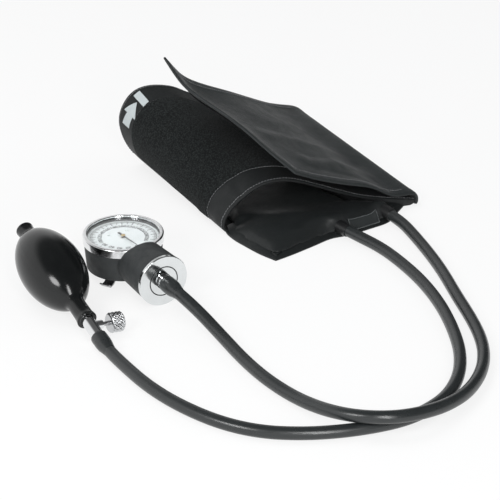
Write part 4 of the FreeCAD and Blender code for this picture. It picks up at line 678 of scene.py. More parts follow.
def make_sleeve():
    """The folded sleeve: outside, far rim, inside and near rim as one closed skin."""
    wanted = np.linspace(0, 1, AROUND)
    inner = inner_corners()

    def inside(share):
        return with_floor(at_depth(rim_points(inner, wanted, share), NEAR_V + CUFF_WIDTH * share))
    rows = [with_floor(sleeve_outside(share, wanted)) for share in np.linspace(0, 1, ALONG)]
    rows += rim_rows(rows[-1], inside(1.0), RIM_BULGE)
    rows += [inside(share) for share in np.linspace(1, 0, ALONG // 2)]
    rows += rim_rows(rows[-1], rows[0], -RIM_BULGE)
    grid = to_row(CUFF, np.array(rows))
    faces, uvs = ring_faces(len(rows), grid.shape[1], True, True, run_lengths(grid[:, 60], True),
                            run_lengths(grid[20], True))
    sleeve = add_piece("cuff_sleeve", grid.reshape(-1, 3), turned_over(faces), NYLON, "base",
                       turned_over(uvs))
    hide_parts("cuff_wrap")


def make_loop_pad():
    """The fuzzy pad round the sleeve, between its plain borders."""
    wanted = np.linspace(*np.interp(LOOP_RANGE, np.arange(len(CORNERS)), CORNERS), 170)
    first, last = BORDER / CUFF_WIDTH, 1 - BORDER / CUFF_WIDTH
    rows = [sleeve_outside(share, wanted, 0.5) for share in np.linspace(first, last, 92)]
    tufts = TUFT_HEIGHT * noise_at(rows, TUFT_SIZE, 5)
    grid = to_row(CUFF, rows)
    pad = sheet_piece("loop_fabric", grid + surface_normals(grid) * tufts[..., None] * MM,
                      1.0 * MM, LOOPS, "base")
    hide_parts("loop_pad")


def sleeve_stitches(name, share, first):
    """A seam round the sleeve's outside, from a place on its curve."""
    wanted = np.linspace(first, SEAM_END, 160)
    turn = np.array(CUFF.to_3x3()) / MM
    stitches(name, to_row(CUFF, sleeve_outside(share, wanted, 0.05)),
             at_depth(rim_normals(share, wanted), 0.0) @ turn.T, "base", THREAD)


def make_mark(name, outline, rows=12, columns=12):
    """A flat woven mark on the far border; outline gives (place, low share, high share)."""
    places, low, high = np.array(outline).T
    grid = []
    for place in np.linspace(places[0], places[-1], rows):
        shares = np.linspace(np.interp(place, places, low), np.interp(place, places, high), columns)
        grid.append([sleeve_outside(share, np.array([place]), 0.1)[0] for share in shares])
    sheet_piece(name, to_row(CUFF, grid), 0.25 * MM, MARK_WHITE, "base")


make_sleeve()
make_loop_pad()
sleeve_stitches("near_rim_stitches", 1.0 / CUFF_WIDTH, 0.06)
sleeve_stitches("far_rim_stitches", 1 - 1.4 / CUFF_WIDTH, 0.2)
sleeve_stitches("near_pad_stitches", PAD_SEAM, 0.2)
sleeve_stitches("far_pad_stitches", 1 - PAD_SEAM, 0.25)
make_mark("index_bar", [(0.766, 0.880, 0.978), (0.790, 0.871, 0.973)])
make_mark("arrow_head", [(0.7965, 0.923, 0.926), (0.8340, 0.863, 0.972)])
make_mark("arrow_shaft", [(0.8335, 0.891, 0.943), (0.8675, 0.897, 0.959)])

# ---------------------------------------------------------------- cuff: free flap

FLAP_KNOTS = (-0.075, -0.035, 0.0, 0.15, 0.35, 0.6, 0.8, 0.9, 1.0)   # columns, from the fold
FLAP_ROWS = (0.0, 0.25, 0.5, 0.75, 0.88, 1.0)                   # rows, from the near edge
FLAP_RIGHT_NEAR, FLAP_LEFT_NEAR = np.array((153.9, 33.3)), np.array((40.5, 10.8))
FLAP_RIGHT_FAR, FLAP_LEFT_FAR = np.array((102.5, 177.0)), np.array((-31.5, 121.6))
FLAP_RISE_NEAR = (8.6, 12.8, 24.7, 36.0, 45.3, 50.4, 56.0)
FLAP_RISE_FAR = (32.2, 42.8, 56.0, 75.0, 90.4, 101.2, 118.6)
FLAP_DIPS = (0.0, -1.2, -2.5, -7.5, -7.8, 0.0)
DIP_SHARES = (0.0, 0.0, 0.0, 0.15, 0.5, 0.75, 1.0)
TURN_UNDER = [         # where the cloth goes on round the fold: near and far (u, v, z)
    ((153.6, 33.3, 2.2), (99.4, 177.0, 23.2)), ((154.6, 33.3, 5.0), (102.8, 177.0, 28.6))]
FLAP_FOLDS = (         # start, slope, width, height, first column, last column
    (0.20, 0.04, 0.060, 0.8, 0.10, 0.80), (0.31, -0.03, 0.050, -0.7, 0.05, 0.75),
    (0.42, 0.05, 0.060, 0.8, 0.15, 0.85), (0.60, -0.04, 0.080, -0.6, 0.10, 0.80),
    (0.09, 0.02, 0.035, -0.6, 0.25, 0.85))
FLAP_THICK = 2.3
FLAP_LONG, FLAP_WIDE = 145, 118
HEM_RISE, HEM_WIDE, EDGE_THINNED = 0.55, 8.0, 0.9
SEAM_CELLS = 96
SEAM_LIFT, HOOK_LIFT = 1.3, -2.4         # from the cloth's middle, above and below


def flap_knots():
    """The flap's middle surface at its knots, in cuff millimetres."""
    rows = []
    for share, dip in zip(FLAP_ROWS, FLAP_DIPS):
        row = [np.array(near) * (1 - share) + np.array(far) * share for near, far in TURN_UNDER]
        for index, place in enumerate(FLAP_KNOTS[2:]):
            near = FLAP_RIGHT_NEAR + (FLAP_LEFT_NEAR - FLAP_RIGHT_NEAR) * place
            far = FLAP_RIGHT_FAR + (FLAP_LEFT_FAR - FLAP_RIGHT_FAR) * place
            rise = FLAP_RISE_NEAR[index] * (1 - share) + FLAP_RISE_FAR[index] * share
            row.append((*(near + (far - near) * share), rise + dip * DIP_SHARES[index]))
        rows.append(row)
    knots = np.array(rows, float)
    knots[..., 2] -= 1.3
    return knots


def ridge(rows, columns, start, slope, width, height, first, last):
    """A soft fold across the flap, along a line in (column, row) shares."""
    middle = start + slope * columns + 0.02 * np.sin(columns * 9 + start * 20)
    fade = smooth_step((columns - first) / 0.12) * smooth_step((last - columns) / 0.12)
    return height * np.exp(-((rows - middle) / width) ** 2) * fade


def flap_surface(rows, columns, lift=0.0):
    """Points of the flap at arrays of row and column shares, in cuff millimetres."""
    along = natural_spline(FLAP_ROWS, flap_knots(), rows)
    grid = np.stack([natural_spline(FLAP_KNOTS, row, columns) for row in along])
    r, c = np.meshgrid(rows, columns, indexing="ij")
    folds = sum(ridge(r, c, *fold) for fold in FLAP_FOLDS)
    calm = smooth_step(c / 0.16) * (0.25 + 0.75 * smooth_step((1 - r) / 0.2))
    folds = (folds + 0.6 * noise_at(grid, 30.0, 8) + 0.16 * noise_at(grid, 10.0, 9)) * calm
    return grid - surface_normals(grid) * (folds + lift)[..., None]


def make_flap():
    """The free end as one cloth, with a raised hem and a thin edge."""
    rows, columns = np.linspace(0, 1, 96), np.linspace(FLAP_KNOTS[0], 1, 96)
    metres = to_row(CUFF, flap_surface(rows, columns))
    r, c = np.meshgrid(rows, columns, indexing="ij")
    edge = np.minimum(np.minimum(r, 1 - r) * FLAP_LONG, (1 - c) * FLAP_WIDE)
    hem = HEM_RISE * smooth_step((HEM_WIDE - edge) / 1.2)
    thick = (FLAP_THICK + hem - EDGE_THINNED * smooth_step((2.0 - edge) / 2.0)) * MM
    flap = sheet_piece("flap_cloth", metres, thick, FLAP_NYLON_PAINTED_SHEEN, None)
    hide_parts("cuff_flap")
    hinge, across = Vector((0.155372, 0.056347, 0.005912)), Vector((-0.4018, -0.4220, 0.5317))
    across.normalize()
    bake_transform(flap)


def flap_stitches(name, rows, columns):
    """A seam over the flap from one (row, column) share to another."""
    fine = np.linspace(0, 1, SEAM_CELLS + 1)
    grid = to_row(CUFF, flap_surface(fine, fine))
    normals = -surface_normals(grid)
    line, side = [], []
    for share in np.linspace(0, 1, 240):
        r, c = [(ends[0] + (ends[1] - ends[0]) * share) * SEAM_CELLS for ends in (rows, columns)]
        r0, c0 = min(int(r), SEAM_CELLS - 1), min(int(c), SEAM_CELLS - 1)
        fr, fc = r - r0, c - c0
        mix = (((1 - fr) * (1 - fc), r0, c0), ((1 - fr) * fc, r0, c0 + 1),
               (fr * (1 - fc), r0 + 1, c0), (fr * fc, r0 + 1, c0 + 1))
        place, normal = [sum(w * values[i, j] for w, i, j in mix) for values in (grid, normals)]
        line.append(place + normal * SEAM_LIFT * MM)
        side.append(normal)
    stitches(name, line, side, "flap", THREAD)


def make_hook_pad():
    """The hooks under the flap, in twelfths of it, just inside the CAD's 1 to 11 and 6 to 11."""
    rows = np.linspace(1.2 / 12, 10.8 / 12, 80)
    columns = np.linspace(6.1 / 12, 10.9 / 12, 48)
    grid = flap_surface(rows, columns, HOOK_LIFT)
    hooks = 0.15 * noise_at(grid, 1.7, 12)
    grid = to_row(CUFF, grid + surface_normals(grid) * hooks[..., None])
    pad = sheet_piece("hook_fabric", grid, 0.9 * MM, HOOKS, "flap")
    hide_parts("hook_pad")


make_flap()
make_hook_pad()
flap_stitches("flap_near_stitches", (0.04, 0.04), (0.10, 0.955))
flap_stitches("flap_free_stitches", (0.04, 0.96), (0.955, 0.955))
flap_stitches("flap_far_stitches", (0.96, 0.96), (0.955, 0.10))

# ---------------------------------------------------------------- bulb, ports and tube ends

BULB_POWER, BULB_RADIUS, BULB_HALF = 1.16, 23.7, 42.8
SLEEVE_END, SLEEVE_RADIUS, TAIL_END, TAIL_RADIUS = 61.6, 6.5, 50.8, 6.5
BARREL_RADIUS, INLET_RADIUS, BULB_WALL = 4.8, 4.25, 2.3
PORTS = [("left_port", (75.5, 3.5, 6.5), (6.5, -16.0, -0.3)),       # name, end and way (u, v, z)
         ("right_port", (118, 16, 8), (5.5, -16.0, -0.7))]
PORT_PROFILE = rounded([(4.45, 9.6), (4.6, 10.0), (4.9, 9.7), (5.15, 7.0), (5.45, 2.0),
                        (5.6, -1.0), (5.8, -4.5), (5.4, -6.0), (4.6, -5.9)], 3)


def bulb_half(start_radius, sign, count=40):
    """Points (radius, distance) from the fattest part to where the radius is start_radius."""
    last = math.acos((start_radius / BULB_RADIUS) ** (1 / BULB_POWER))
    angles = np.linspace(0, last, count)
    return [(BULB_RADIUS * math.cos(a) ** BULB_POWER, sign * BULB_HALF * math.sin(a))
            for a in angles]


def seam(radius, along, angle):
    """The bulb mould's parting line, a faint ridge along both sides."""
    side = abs(math.sin(angle + 0.5)) * BULB_RADIUS
    return 0.10 * math.exp(-(side / 0.7) ** 2) if abs(along) < 41 else 0.0


def make_bulb():
    """The hollow bulb with its neck over the valve and its tail round the inlet."""
    right = bulb_half(7.6, 1)
    left = bulb_half(7.4, -1)
    neck = rounded([right[-1], (SLEEVE_RADIUS + 0.1, 42.4), (SLEEVE_RADIUS, 47.0),
                    (SLEEVE_RADIUS + 0.15, 56.5), (SLEEVE_RADIUS + 0.9, 60.3),
                    (SLEEVE_RADIUS + 0.9, SLEEVE_END), (SLEEVE_RADIUS - 0.6, SLEEVE_END),
                    (BARREL_RADIUS, SLEEVE_END - 0.4)], 3)
    tail = rounded([(INLET_RADIUS, -TAIL_END + 0.4), (TAIL_RADIUS - 1.2, -TAIL_END),
                    (TAIL_RADIUS + 0.15, -TAIL_END), (TAIL_RADIUS + 0.15, -TAIL_END + 1.6),
                    (TAIL_RADIUS - 0.1, -TAIL_END + 3.0), (TAIL_RADIUS, -42.6), left[-1]], 3)
    inside = [(BARREL_RADIUS, 44.0), (BULB_RADIUS * 0.5, 34.0), (BULB_RADIUS - BULB_WALL, 0.0),
              (BULB_RADIUS * 0.5, -34.0), (INLET_RADIUS, -41.0)]
    inside = [inside[0]] + rounded(inside, 3)[1:-1] + [inside[-1]]
    profile = left[::-1] + right[1:] + neck[1:] + inside + tail[:-1]
    bulb = lathe("bulb_skin", BULB, profile, BULB_RUBBER, "base", 144, seam)
    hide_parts("bulb")


def line_frame(start, along):
    """A frame in row metres whose X runs along a direction of the row frame."""
    along = Vector(along).normalized()
    side = along.cross(Vector((0, 0, 1))).normalized()
    return placement(start, along, side, along.cross(side))


def make_port(name, end, along):
    """A rubber port that leaves the panel and holds a tube."""
    start = CUFF @ Vector(end)
    ahead = CUFF @ (Vector(end) + Vector(along)) - start
    port = lathe(name + "_collar", line_frame(start, ahead), PORT_PROFILE, PORT_RUBBER, "base",
                 64)
    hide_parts(name)


make_bulb()
for port_name, port_end, port_way in PORTS:
    make_port(port_name, port_end, port_way)

# ---------------------------------------------------------------- cuff: inner panel

PANEL_SECTIONS = [     # depth v, left u, right u, and the height of its crown
    (-24.0, 12.9, 15.5, 3.0), (-20.0, 10.6, 24.0, 4.2), (-16.0, 8.6, 34.0, 5.6),
    (-9.0, 5.0, 52.0, 7.6), (-3.0, 2.6, 67.0, 9.4), (-1.0, 1.8, 79.0, 10.2),
    (1.0, 1.0, 95.0, 10.8), (4.6, -0.6, 108.5, 11.6), (7.6, -1.8, 118.5, 12.2),
    (10.0, -2.6, 123.5, 12.6), (20.0, -6.0, 133.5, 13.4), (28.0, -8.0, 140.0, 14.0),
    (31.8, -8.6, 143.0, 14.4), (33.8, -5.0, 105.0, 12.6), (60.0, -8.0, 92.0, 12.4),
    (100.0, -12.0, 76.0, 12.4), (140.0, -16.5, 60.0, 12.4), (165.0, -19.0, 50.0, 12.4)]
SLEEVE_MOUTH = 33            # the depth v at which the panel goes into the sleeve
PANEL_ACROSS = 44
PANEL_HUMPS = ((73.5, 6.0, 14.5), (117.0, 17.0, 15.5))     # round each port: u, v and height
PANEL_FOLDS = (              # start and end (u, v), width, height
    ((70, 6), (20, 34), 8.0, 0.8), ((60, 2), (8, 14), 7.0, 0.7),
    ((112, 18), (95, 40), 6.0, 0.8), ((34, 6), (40, 34), 9.0, -0.8))
VOXEL, PRESSURE, SWELL_FRAMES, SWELL_CAP = 0.003, 4.0, 20, 0.003
HEM_LINE = [                 # the panel's flat sewn edge (u, v), the sharp corner among them
    (-7.6, 41.0), (-9.3, 31.2), (-8.4, 24.5), (-6.6, 17.5), (-3.8, 10.0), (0.2, 0.0), (4.4, -9.5),
    (12.9, -24.0), (26.0, -19.6), (39.6, -14.2), (55.0, -7.6), (68.0, -2.8), (80.5, -2.2),
    (94.7, 1.2), (107.0, 4.6), (117.0, 7.8), (123.0, 11.6), (128.5, 17.5), (135.0, 24.5),
    (141.5, 31.2)]
HEM_CORNER = 7
HEM_SECTION = [              # how far in from the edge, and how high, rising like the bag itself
    (0.25, 0.15), (0.0, 0.7), (0.3, 1.3), (1.3, 2.0), (3.0, 3.2), (5.0, 4.4), (7.5, 5.5),
    (10.5, 6.3), (10.5, 0.4)]
HEM_SCALE = ((-24.0, -16.0, -9.0, 0.0, 12.0), (0.50, 0.62, 0.76, 0.92, 1.0))   # height by depth
HEM_BASE, HEM_PLAIN = 1.3, 1.5          # heights up to HEM_PLAIN aren't scaled
PLATE_RANGE = (85.0, 112.5)  # the welded strip between the ports, by u along the sewn edge
PLATE_DEPTHS = np.linspace(1.8, 8.0, 9)
PLATE_LIFT, PLATE_THICK = 0.15 * MM, 0.7 * MM


def panel_blank():
    """The panel's shape before it swells, as a closed skin in cuff millimetres."""
    rows = []
    depths = np.concatenate([np.linspace(-24.0, 31.8, 48), np.linspace(34.0, 164.0, 50)])
    table = np.array(PANEL_SECTIONS).T
    shares = (1 - np.cos(np.linspace(0, math.pi, PANEL_ACROSS))) / 2
    for v in depths:
        seen = v < SLEEVE_MOUTH
        left, right, crown = [np.interp(v, table[0], column) for column in table[1:]]
        low = 0.9 if seen else 4.0
        rise = np.clip(4 * shares * (1 - shares), 0, 1) ** (0.6 if seen else 0.33)
        edge = min(3.0, crown * 0.3)
        top = low + edge * 0.5 + (crown - 1.2 - low - edge * 0.5) * rise
        top *= 1 - 0.45 * smooth_step((shares - 0.72) / 0.28) * seen
        u = left + (right - left) * shares
        for port_u, port_v, port_top in PANEL_HUMPS:
            near = np.exp(-((u - port_u) ** 2 + (v - port_v) ** 2) / 8.5 ** 2)
            top += np.maximum(port_top - top, 0) * near
        under = np.full(PANEL_ACROSS - 2, low)
        rows.append(np.concatenate([at_depth(np.column_stack([u, top]), v),
                                    at_depth(np.column_stack([u[-2:0:-1], under]), v)]))
    return np.array(rows)


def bake_modifiers(piece):
    """Makes the shape that the modifiers give the mesh's own."""
    mesh, old = shown_mesh(piece), piece.data
    piece.modifiers.clear()
    piece.data = mesh
    bpy.data.meshes.remove(old)


def vertex_places(piece):
    return np.array([vertex.co[:] for vertex in piece.data.vertices])


def swollen(piece):
    """Fills a closed mesh with air by cloth simulation, no point moving more than a cap."""
    remesh = piece.modifiers.new("remesh", "REMESH")
    remesh.mode = "VOXEL"
    remesh.voxel_size = VOXEL
    bake_modifiers(piece)
    before = vertex_places(piece)
    cloth = piece.modifiers.new("cloth", "CLOTH")
    cloth.settings.use_pressure = True
    cloth.settings.uniform_pressure_force = PRESSURE
    cloth.settings.effector_weights.gravity = 0
    cloth.settings.quality = 5
    scene = bpy.context.scene
    for number in range(1, SWELL_FRAMES + 1):
        scene.frame_set(number)
    bake_modifiers(piece)
    scene.frame_set(1)
    move = vertex_places(piece) - before
    size = np.linalg.norm(move, axis=1, keepdims=True)
    move *= np.minimum(1, SWELL_CAP / np.maximum(size, 1e-9))
    return before + move


def panel_folds(points):
    """Soft folds that run from the ports to the arch of the sleeve, in cuff millimetres."""
    folds = np.zeros(len(points))
    for start, end, width, height in PANEL_FOLDS:
        a, b = np.array(start, float), np.array(end, float)
        along = (b - a) / np.linalg.norm(b - a)
        offset = points[:, :2] - a
        run = offset @ along / np.linalg.norm(b - a)
        across = offset @ np.array([-along[1], along[0]]) + 2.2 * np.sin(run * 3)
        fade = smooth_step((run + 0.15) / 0.3) * smooth_step((1.15 - run) / 0.3)
        folds += height * np.exp(-(across / width) ** 2) * fade
    return folds + 0.15 * noise_at(points, 14.0, 21) + 0.6 * noise_at(points, 36.0, 22)


def make_panel():
    """The inner panel: a swollen bag, its folds, and the flat sewn edge round it."""
    grid = panel_blank()
    blank = add_piece("panel_bag", to_row(CUFF, grid.reshape(-1, 3)),
                      turned_over(tube_faces(*grid.shape[:2])), PANEL_NYLON, "base")
    points = swollen(blank)
    turn = np.array(CUFF.inverted())
    local = points @ turn[:3, :3].T + turn[:3, 3]
    # the folds fade out inside the sleeve and towards the table
    shown = smooth_step((36.0 - local[:, 1]) / 6.0) * smooth_step((local[:, 2] - 1.5) / 4.0)
    local[:, 2] += panel_folds(local) * shown * 0.9
    # below the sleeve's arch, and above the table or the sleeve's lower layer
    crown = 16.0 - 3.2 * smooth_step((local[:, 1] - 14.0) / 26.0)
    local[:, 2] = np.clip(local[:, 2], np.where(local[:, 1] < 32.5, 0.15, 2.95), crown)
    for vertex, place in zip(blank.data.vertices, to_row(CUFF, local)):
        vertex.co = place
    blank.data.polygons.foreach_set("use_smooth", [True] * len(blank.data.polygons))
    relaxed = blank.modifiers.new("relaxed", "SMOOTH")
    relaxed.factor, relaxed.iterations = 0.5, 3
    smoother = blank.modifiers.new("fine", "SUBSURF")
    smoother.levels = smoother.render_levels = 1
    bake_modifiers(blank)
    join_hem(blank)
    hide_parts("bladder_panel")


def hem_points():
    """The sewn edge's line at close steps, with its inward directions; the corner stays sharp."""
    line = np.array(HEM_LINE)
    places, inward = [], []
    for leg, count in ((line[:HEM_CORNER + 1], 34), (line[HEM_CORNER:], 74)):
        lengths = run_lengths(leg)
        fine = natural_spline(lengths, leg, np.linspace(0, lengths[-1], count))
        along = np.gradient(fine, axis=0)
        along /= np.linalg.norm(along, axis=1, keepdims=True)
        places.append(fine)
        inward.append(np.stack([-along[:, 1], along[:, 0]], axis=1))
    corner = inward[0][-1] + inward[1][0]
    corner /= 1 + inward[0][-1] @ inward[1][0]
    places = np.concatenate([places[0][:-1], places[1]])
    inward = np.concatenate([inward[0][:-1], [corner], inward[1][1:]])
    return places, inward


def join_hem(piece):
    """Adds the flat sewn edge to the swollen panel's mesh."""
    rows = []
    for (u, v), (to_u, to_v) in zip(*hem_points()):
        scale = np.interp(v, *HEM_SCALE)
        rows.append([(u + to_u * deep, v + to_v * deep, high if high < HEM_PLAIN else
                      HEM_BASE + (high - HEM_BASE) * scale) for deep, high in HEM_SECTION])
    grid = np.array(rows)
    grid[..., 2] += 0.25 * noise_at(grid, 9.0, 31) * smooth_step((grid[..., 2] - 0.8) / 1.2)
    mesh = piece.data
    first = len(mesh.vertices)
    points = [vertex.co[:] for vertex in mesh.vertices]
    points += [tuple(point) for point in to_row(CUFF, grid.reshape(-1, 3))]
    faces = [list(polygon.vertices) for polygon in mesh.polygons]
    faces += [[first + c for c in face] for face in turned_over(tube_faces(*grid.shape[:2]))]
    joined = bpy.data.meshes.new(piece.name)
    joined.from_pydata(points, [], faces)
    joined.materials.append(PANEL_NYLON)
    joined.polygons.foreach_set("use_smooth", [True] * len(joined.polygons))
    piece.data = joined
    bpy.data.meshes.remove(mesh)


def make_port_plate():
    """The strip of film welded on the panel between the ports, with a bead round it."""
    bag = bpy.data.objects["panel_bag"].data
    tree = BVHTree.FromPolygons([vertex.co for vertex in bag.vertices],
                                [polygon.vertices for polygon in bag.polygons])
    places, inward = hem_points()
    keep = (places[:, 0] > PLATE_RANGE[0]) & (places[:, 0] < PLATE_RANGE[1])
    rows = []
    for deep in PLATE_DEPTHS:
        above = to_row(CUFF, np.column_stack([places[keep] + inward[keep] * deep,
                                              np.full(keep.sum(), 40.0)]))
        rows.append([tree.ray_cast(Vector(start), Vector((0, 0, -1)))[0][:] for start in above])
    grid = np.array(rows)
    grid[..., 2] += PLATE_LIFT
    sheet_piece("port_plate", grid, PLATE_THICK, WELD, "base")
    border = np.concatenate([grid[0], grid[1:, -1], grid[-1, -2::-1], grid[-2::-1, 0]])
    border[:, 2] += PLATE_THICK / 2
    stitches("port_plate_bead", border, np.tile((0.0, 0.0, 1.0), (len(border), 1)), "base",
             BEAD, pitch=0.0012, length=0.0011, radius=0.0004)


make_panel()
make_port_plate()

# ---------------------------------------------------------------- gauge: dial and end details

DIAL_TOP = 28.5
INK_LIFT = 0.03
ZERO_ANGLE, SWEEP, FULL_SCALE = 5.0, 316.8, 300
TICKS = ((20, 20.6, 0.32), (10, 21.6, 0.24), (2, 23.0, 0.13))   # units, inner radius, half width
TICK_OUTER, ARC_INNER, ARC_OUTER = 25.0, 24.95, 25.2
NUMERAL_SIZE, NUMERAL_RADIUS, NUMERAL_STEP = 4.3, 17.6, 20


def dial_angle(value):
    return math.radians(ZERO_ANGLE - SWEEP * value / FULL_SCALE)


def dial_point(angle, radius):
    return (radius * math.cos(angle), radius * math.sin(angle), DIAL_TOP + INK_LIFT)


def make_dial_scale():
    """Ticks every 2 units, longer ones every 10, and a thin ring that joins them."""
    quads = []
    for value in range(0, FULL_SCALE + 1, TICKS[-1][0]):
        inner, half_width = next(tick[1:] for tick in TICKS if value % tick[0] == 0)
        angle = dial_angle(value)
        side = Vector((-math.sin(angle), math.cos(angle), 0)) * half_width
        low, high = Vector(dial_point(angle, inner)), Vector(dial_point(angle, TICK_OUTER))
        quads.append([low - side, high - side, high + side, low + side])
    arc = np.radians(np.linspace(ZERO_ANGLE, ZERO_ANGLE - SWEEP, 181))
    for a, b in zip(arc, arc[1:]):
        quads.append([dial_point(a, ARC_INNER), dial_point(a, ARC_OUTER),
                      dial_point(b, ARC_OUTER), dial_point(b, ARC_INNER)])
    points = [point for quad in quads for point in quad]
    faces = np.arange(len(points)).reshape(-1, 4).tolist()
    add_piece("dial_scale", to_row(GAUGE, points), faces, DIAL_INK, "base")


def make_numerals():
    """The numbers 0 to 300, upright towards the rim, as flat letter shapes."""
    points, faces = [], []
    for value in range(0, FULL_SCALE + 1, NUMERAL_STEP):
        text = bpy.data.curves.new("numeral", "FONT")
        text.body = str(value)
        text.size = NUMERAL_SIZE
        text.offset = 0.12
        text.align_x, text.align_y = "CENTER", "CENTER"
        text.resolution_u = 3
        holder = put("numeral", text)
        mesh = shown_mesh(holder)
        turn = dial_angle(value) - math.pi / 2
        faces.extend([[len(points) + corner for corner in polygon.vertices]
                      for polygon in mesh.polygons])
        for vertex in mesh.vertices:
            x, y = vertex.co.x, vertex.co.y + NUMERAL_RADIUS
            points.append((x * math.cos(turn) - y * math.sin(turn),
                           x * math.sin(turn) + y * math.cos(turn), DIAL_TOP + INK_LIFT))
        bpy.data.objects.remove(holder)
        bpy.data.meshes.remove(mesh)
        bpy.data.curves.remove(text)
    add_piece("dial_numerals", to_row(GAUGE, points), faces, DIAL_INK, "base")


make_dial_scale()
make_numerals()

CAP_AXIS = GAUGE @ Matrix.Translation((0, 0, 19.8))
# Two thin dark washers in the dial's ink: painted shade over the lock ring's groove on the cap,
# wider than the groove, and painted shade round the nozzle's hub.
CAP_SHADE_HEIGHTS = (60.31, 60.37)
for line_name, line_inner, line_outer in (("cap_groove_painted_shade", 10.95, 11.8), ("hub_painted_shade", 5.3, 6.1)):
    lathe(line_name, CAP_AXIS, [(line_inner, CAP_SHADE_HEIGHTS[0]), (line_outer, CAP_SHADE_HEIGHTS[0]),
                                (line_outer, CAP_SHADE_HEIGHTS[1]), (line_inner, CAP_SHADE_HEIGHTS[1])], DIAL_INK,
          "base")

KNOB_RADIUS, KNOB_LENGTH, KNOB_START, KNOB_STATION = 7.25, 10.4, 13.9, 68.0
KNURL_STARTS, KNURL_PITCH, KNURL_DEPTH = 16, 3.0, 0.75


def knurl(radius, along, angle):
    """Diamond knurling on the knob's side between its chamfers."""
    if radius <= KNOB_RADIUS - 0.3:
        return 0.0
    share = smooth_step((along - 0.6) / 0.7) * smooth_step((9.8 - along) / 0.7)
    turn, run = KNURL_STARTS * angle, along * 2 * math.pi / KNURL_PITCH
    height = abs(math.sin((turn + run) / 2)) + abs(math.sin((turn - run) / 2))
    return KNURL_DEPTH * (height - 1.7) * float(share)


def make_knob():
    """The knob's closed outline from its inner rim round to its hollow back."""
    rim = rounded([(1.7, 0.15), (KNOB_RADIUS - 1.0, 0.0), (KNOB_RADIUS, 0.9)], 2)
    side = [(KNOB_RADIUS, 0.9 + 8.6 * step / 34) for step in range(1, 34)]
    face = rounded([(KNOB_RADIUS, 9.5), (KNOB_RADIUS - 0.9, KNOB_LENGTH), (5.6, KNOB_LENGTH),
                    (5.0, KNOB_LENGTH - 0.55), (0.02, KNOB_LENGTH - 0.5)], 2)
    back = [(0.02, 6.3), (1.7, 6.3)]
    frame_of_knob = BULB @ Matrix.Translation((KNOB_STATION, KNOB_START, 0)) @ Matrix.Rotation(
        math.pi / 2, 4, "Z")
    knob = lathe("knob_knurled", frame_of_knob, rim + side + face + back, KNOB_METAL, "knob",
                 264, knurl)
    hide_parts("thumb_knob")


make_knob()

# ---------------------------------------------------------------- cords

GAUGE_TUBE = [
    (-0.041251, -0.111935, 0.0198), (-0.030505, -0.128803, 0.0198), (-0.0160, -0.1440, 0.0134),
    (-0.0008, -0.1645, 0.0070), (0.0157, -0.1945, 0.0046), (0.0319, -0.2208, 0.0046),
    (0.0491, -0.2417, 0.0048), (0.0645, -0.2594, 0.0080), (0.0802, -0.2742, 0.0124),
    (0.0972, -0.2813, 0.0146), (0.1153, -0.2809, 0.0146), (0.1326, -0.2732, 0.0129),
    (0.1496, -0.2592, 0.0098), (0.1657, -0.2388, 0.0068), (0.177744, -0.211481, 0.0048),
    (0.182756, -0.186234, 0.0046), (0.182546, -0.161783, 0.0046), (0.178475, -0.135041, 0.0046),
    (0.172006, -0.105052, 0.0046), (0.165099, -0.067564, 0.0046), (0.157804, -0.039178, 0.0048),
    (0.148555, -0.010863, 0.0056), (0.138827, 0.012745, 0.007173), (0.126724, 0.028646, 0.008)]
BULB_TUBE = [
    (-0.086815, -0.16807, 0.007968), (-0.080333, -0.179575, 0.005161),
    (-0.066777, -0.201611, 0.0046), (-0.048277, -0.229111, 0.0046), (-0.026277, -0.252611, 0.0046),
    (0.000223, -0.272611, 0.0046), (0.026223, -0.283111, 0.0046), (0.052223, -0.285311, 0.0046),
    (0.076723, -0.283011, 0.0046), (0.099723, -0.277411, 0.0046), (0.120423, -0.269411, 0.0046),
    (0.136523, -0.257811, 0.0046), (0.151223, -0.241211, 0.0046), (0.161923, -0.216311, 0.0046),
    (0.166323, -0.186211, 0.0046), (0.164623, -0.153411, 0.0046), (0.158823, -0.116911, 0.0046),
    (0.148523, -0.082311, 0.0046), (0.135523, -0.053611, 0.0046), (0.121523, -0.029611, 0.005),
    (0.103667, -0.011396, 0.006153), (0.090301, 0.003428, 0.0065)]
TUBE_RADIUS = 0.0045
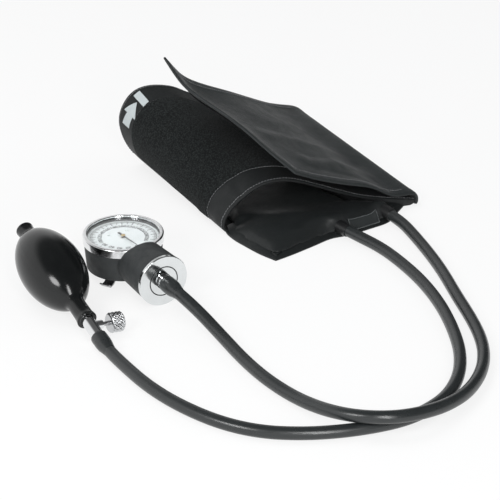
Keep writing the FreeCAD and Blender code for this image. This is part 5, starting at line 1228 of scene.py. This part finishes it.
FLARE = (              # radius and distance along the tube's end
    (3.4, 1.2), (3.4, 0.1), (5.3, 0.0), (5.9, 0.5), (6.0, 1.6), (6.0, 8.0), (5.8, 11.0),
    (5.2, 14.0), (4.75, 16.5), (4.52, 18.5), (4.3, 18.9))
FLARE_SIDES, FLARE_FROM = 40, 4.6


def cord_line(piece):
    """The points that a cord's curve follows, in metres."""
    bare = put("bare", piece.data.copy())
    bare.data.bevel_depth = 0
    mesh = shown_mesh(bare)
    line = np.array([vertex.co[:] for vertex in mesh.vertices])
    bpy.data.objects.remove(bare)
    bpy.data.meshes.remove(mesh)
    return line


def flared_end(name, line, widen):
    """The tube's end where it is pushed over a nozzle: wider, then tapering to the tube."""
    lengths = run_lengths(line)
    points = []
    for radius, along in FLARE:
        place = along_line(line, lengths, along * MM)
        ahead = along_line(line, lengths, (along + 1) * MM) - place
        ahead /= np.linalg.norm(ahead)
        side = np.cross(ahead, (0, 0, 1))
        side /= np.linalg.norm(side)
        up = np.cross(side, ahead)
        size = radius if radius < FLARE_FROM else FLARE_FROM + (radius - FLARE_FROM) * widen
        size = min(size * MM, place[2] - 0.05 * MM)
        points += [place + size * (side * math.cos(turn) + up * math.sin(turn))
                   for turn in np.linspace(0, 2 * math.pi, FLARE_SIDES, endpoint=False)]
    faces = ring_faces(len(FLARE), FLARE_SIDES, False, True)[0]
    return add_piece(name, points, faces, TUBE, "base")


def rubber_tube(name, route, replaced, flare):
    """A tube on the route's smooth curve, with its flared end."""
    data = bpy.data.curves.new(name, "CURVE")
    data.dimensions = "3D"
    data.bevel_depth = TUBE_RADIUS
    data.bevel_resolution = 8
    data.resolution_u = 12
    data.use_fill_caps = True
    line = data.splines.new("NURBS")
    line.points.add(len(route) - 1)
    for point, place in zip(line.points, route):
        point.co = (*place, 1)
    line.order_u = 3
    line.use_endpoint_u = True
    line.use_smooth = True
    data.materials.append(TUBE)
    piece = put(name, data)
    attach(piece, "base")
    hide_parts(replaced)
    end = flared_end(name.replace("line", "end"), cord_line(piece), flare)


rubber_tube("gauge_tube_line", GAUGE_TUBE, "gauge_tube", 1.2)
rubber_tube("bulb_tube_line", BULB_TUBE, "bulb_tube", 1.0)
